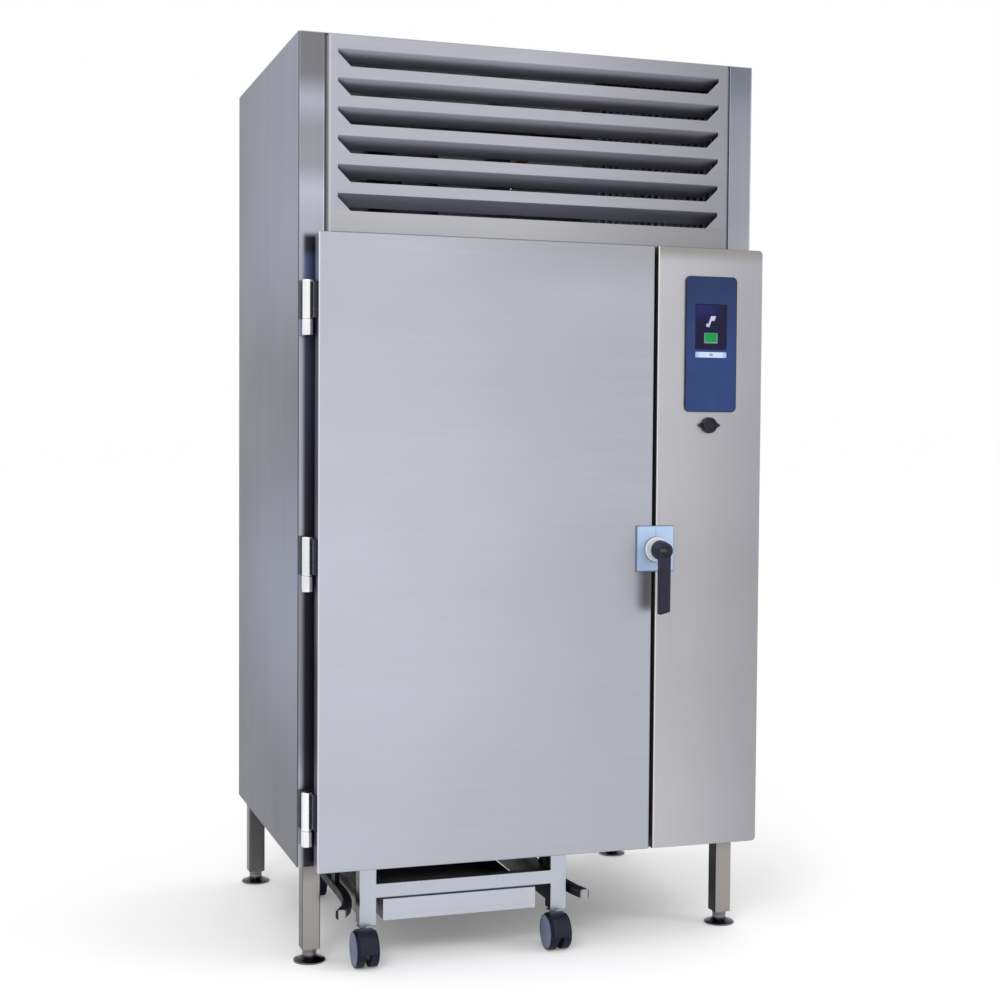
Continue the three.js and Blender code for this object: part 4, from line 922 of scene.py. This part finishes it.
# %% [markdown]
# The latch plate is a flat polished plate with a round rosette that carries the lever. Beside it, across
# the door's gap, stands the strike plate. Both have soft edges. The rosette is a spun profile with a
# shallow step, so that its rim and its dished face catch the light differently.

# %% Latch and strike plates
plate_edge = 0.0009
plate_front = plate_high.y - 0.0043
rim, depth = plate_high.x - hub.x, plate_front - plate_low.y
bm = bmesh.new()
box_between(bm, (plate_low.x, plate_front, plate_low.z), (plate_high.x - 0.0005, plate_high.y, plate_high.z))
rounded(bm, plate_edge, segments=2)
profile = [(0, 0), (0, rim), (depth - 0.003, rim), (depth - 0.0008, rim - 0.0012), (depth, rim - 0.004),
           (depth - 0.0008, rim - 0.006), (depth - 0.001, 0)]
turned(bm, profile, (hub.x, plate_front, hub.z), FORWARD, RIGHT, steps=64)
settle(bm)
make_piece(bm, "latch_plate_dressed", "door", plate_steel, ["latch_plate"])
refine("strike_plate", plate_steel, width=plate_edge)

# %% [markdown]
# The lever is a moulded plastic bar that hangs from a round hub. The hub is spun: a neck, a wide band and a
# taper down to its face, which is level with the bar's. The bar starts as a box, its low end is narrowed a
# little and slanted, and all of its edges are rounded, as a hand would want them.

# %% Handle lever
low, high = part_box("handle_lever")
neck, bar_half, bar_thickness, bar_edge = 0.017, 0.016, 0.024, 0.003
length, rim = high.y - low.y, high.x - hub.x
profile = [(0, 0), (0, neck), (0.0168, neck), (0.0172, 0.0230), (0.0205, rim - 0.0004), (0.0215, rim),
           (0.0260, rim), (0.0285, rim - 0.0004), (length - 0.004, 0.0224), (length - 0.0015, 0.0212),
           (length, 0.0190), (length, 0)]
bm = bmesh.new()
turned(bm, profile, (hub.x, high.y, hub.z), FORWARD, RIGHT, steps=56)
settle(bm)
bar = box_between(bm, (hub.x - bar_half, low.y, low.z),
                  (hub.x + bar_half, low.y + bar_thickness, hub.z + bar_half))
for vert in bar:
    if vert.co.z < low.z + 0.01:
        vert.co.x = hub.x + (vert.co.x - hub.x) * 0.95
        if vert.co.x > hub.x:
            vert.co.z += 0.008
round_off(bm, list({edge for vert in bar for edge in vert.link_edges}), bar_edge, segments=3)
make_piece(bm, "handle_lever_moulded", "handle", lever_plastic, ["handle_lever"])

# %% [markdown]
# The control panel sits proud of the column on a thin frame with rounded corners. The probe's socket below
# it is closed by a rubber-like cap: a round plug with a pull tab on each side. The cap is spun, and the
# tabs are a flat shape squeezed to points at its ends.

# %% Control panel and socket cap
def on_bezel_face(edge):
    return all(at_depth(vert, bezel_low.y) for vert in edge.verts)


refine("control_bezel", film_blue, width=0.0008, pick=on_bezel_face)
refine("touch_screen", display, width=0.0006)
refine("power_key", key_white, width=0.0012)

low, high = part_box("socket_cap")
middle = (low + high) / 2
tab_reach, tab_half, tab_thickness = (high.x - low.x) / 2, 0.0195, 0.007
length, rim = high.y - low.y, (high.z - low.z) / 2
profile = [(0, 0), (0, rim), (length - 0.005, rim), (length - 0.002, rim - 0.001), (length, rim - 0.004),
           (length - 0.0005, rim - 0.0065), (length - 0.003, rim - 0.008), (length - 0.003, 0)]
bm = bmesh.new()
turned(bm, profile, (middle.x, high.y, middle.z), FORWARD, RIGHT)
settle(bm)
tab = bmesh.ops.create_cone(bm, cap_ends=True, segments=40, radius1=1.0, radius2=1.0,
                            depth=tab_thickness)["verts"]
bmesh.ops.rotate(bm, cent=(0, 0, 0), matrix=Matrix.Rotation(math.pi / 2, 3, "X"), verts=tab)
for vert in tab:
    share = abs(vert.co.x)
    vert.co.z = math.copysign((1 - share) ** 0.8 * tab_half, vert.co.z) if share < 0.999 else 0.0
    vert.co.x *= tab_reach
bmesh.ops.translate(bm, vec=(middle.x, high.y - 0.0037, middle.z), verts=tab)
bmesh.ops.remove_doubles(bm, verts=tab, dist=1e-6)
make_piece(bm, "socket_cap_moulded", "cabinet", cap_plastic, ["socket_cap"])

# %% [markdown]
# The cart is welded from square tubes, so its copy gets soft edges all round. Its tray and its rack are
# folded sheet, and the two guide rails that lead it under the cabinet are painted dark. Their shapes come
# from the frame as they are.

# %% Cart, tray and guide rails
refine("cart_frame", cart_steel, width=0.0025)
refine("cart_tray", tray_steel)
refine("pan_rack", cart_steel)
refine("left_guide_rail", rail_paint, smooth=50.0)
refine("right_guide_rail", rail_paint, smooth=50.0)

# %% [markdown]
# The casters are twin-wheel ones. A hood reaches over both wheels, a web between them holds the axle, and a
# steel stem with a flange turns in the cart's post. The hood is a small section swept part of the way round
# the axle. The tyres are full turns, and so are the discs that close them, which bulge past the tyres.

# %% Caster hoods and stems
wheel_radius = 0.049
hood_from, hood_to = 0.1 * math.pi, 1.02 * math.pi
hood_start = (0, math.cos(hood_from), math.sin(hood_from))
hood_inner, hood_outer = wheel_radius + 0.0012, wheel_radius + 0.0044
hood_half, web_half, web_inner = 0.0235, 0.0065, 0.017
stem_radius, flange_radius = 0.0090, 0.0152


def make_hood_and_stem(corner):
    name = "caster_" + corner
    stem = Vector(joints[corner + "_swivel"]["pos_m"])
    axle = Vector(joints[corner + "_roll"]["pos_m"])
    body = body_of_node[name + "_hood"]
    band = [(-hood_half, hood_inner), (-hood_half, hood_outer - 0.001), (0.001 - hood_half, hood_outer),
            (hood_half - 0.001, hood_outer), (hood_half, hood_outer - 0.001), (hood_half, hood_inner)]
    web = [(-web_half, web_inner), (-web_half, hood_inner + 0.001), (web_half, hood_inner + 0.001),
           (web_half, web_inner)]
    bm = bmesh.new()
    for section in (band, web):
        turned(bm, section, axle, RIGHT, hood_start, steps=40, angle=hood_to - hood_from)
    settle(bm)
    make_piece(bm, name + "_hood_moulded", body, hood_plastic, [name + "_hood"], smooth=40.0)

    bm = bmesh.new()
    stem_foot = axle.z + math.sqrt(hood_inner ** 2 - (axle.y - stem.y + 0.010) ** 2)
    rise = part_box(name + "_hood")[1].z - stem_foot
    profile = [(0, 0), (0, stem_radius), (rise - 0.0042, stem_radius),
               (rise - 0.0036, flange_radius - 0.0006), (rise - 0.0030, flange_radius),
               (rise - 0.0006, flange_radius), (rise, flange_radius - 0.0006), (rise, 0)]
    turned(bm, profile, (stem.x, stem.y, stem_foot), UP, RIGHT, steps=40)
    settle(bm)
    make_piece(bm, name + "_stem", body, stem_steel)


print("hood swept over", round(math.degrees(hood_to - hood_from)), "degrees")

# %% [markdown]
# A wheel is two tyres on one axle. Each tyre's profile is given as a distance from the middle of the wheel
# and a radius, so that the left one is the right one with its distances turned round. The two discs are one
# closed turn with the axle between them, and their domes are drawn from the middle outwards.

# %% Caster wheels
near, bead, seat = 0.0071, 0.0325, 0.0335
dome = [(0.0036, 0), (0.0036, 0.0060), (0.0044, 0.0070), (0.0046, 0.0140), (0.0040, 0.0240), (0.0026, 0.0340),
        (0.0006, 0.0420), (-0.0006, 0.0452), (-0.0020, 0.0462)]


def make_wheels(corner):
    name = "caster_" + corner
    axle = Vector(joints[corner + "_roll"]["pos_m"])
    body = body_of_node[name + "_wheels"]
    low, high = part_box(name + "_wheels")
    wide = (high.x - low.x) / 2
    tyre = [(near, bead), (near, 0.046), (near + 0.0008, 0.0482), (near + 0.003, wheel_radius),
            (wide - 0.004, wheel_radius), (wide - 0.0014, wheel_radius - 0.0008),
            (wide - 0.0004, wheel_radius - 0.0022), (wide - 0.0022, 0.0452), (wide - 0.0022, bead),
            (near, bead)]
    bm = bmesh.new()
    for side in (-1, 1):
        turned(bm, [(side * along, radius) for along, radius in tyre], axle, RIGHT, UP, steps=56)
    settle(bm)
    make_piece(bm, name + "_tyres", body, tyre_rubber, [name + "_wheels"])

    right = [(wide + along, radius) for along, radius in dome]
    right += [(wide - 0.0030, 0.0462), (wide - 0.0030, seat), (near + 0.001, seat), (near + 0.001, 0.0068)]
    left = [(-along, radius) for along, radius in right]
    bm = bmesh.new()
    turned(bm, left + right[::-1], axle, RIGHT, UP, steps=56)
    settle(bm)
    make_piece(bm, name + "_discs", body, disc_plastic)


for corner in CORNERS:
    make_hood_and_stem(corner)
    make_wheels(corner)

# %% [markdown]
# The rest of the frame keeps its own solids and only gets its finishes: the lined walls, the machine behind
# the louvres and the parts of the evaporator. Round ones among them are copied, so that their sides are
# shaded smoothly.

# %% Inside and machine
for node in ("evaporator_motors", "condenser_motor", "compressor"):
    refine(node, dark_paint, smooth=40.0)
refine("refrigerant_line", copper, smooth=50.0)
for node in ("evaporator_fan_lower", "evaporator_fan_upper", "condenser_fan"):
    refine(node, fan_plastic)

kept = {
    "back_panel": roof_steel, "left_wall": lining_steel, "right_wall": lining_steel,
    "back_wall": lining_steel, "ceiling_wall": lining_steel, "insulated_floor": floor_steel,
    "front_divider": lining_steel, "fan_guard_panel": lining_steel, "evaporator_coil": side_fins,
    "condenser_coil": front_fins, "electrical_box": dark_paint, "door_liner": liner_steel,
    "door_gasket": seal_rubber,
}
for node, material in kept.items():
    for place in nodes[node].material_slots:
        place.material = material
shown = [node for node in nodes if not nodes[node].hide_render]
print("kept as they are:", sorted(shown))
print("without a finish:", sorted(set(shown) - set(kept)))
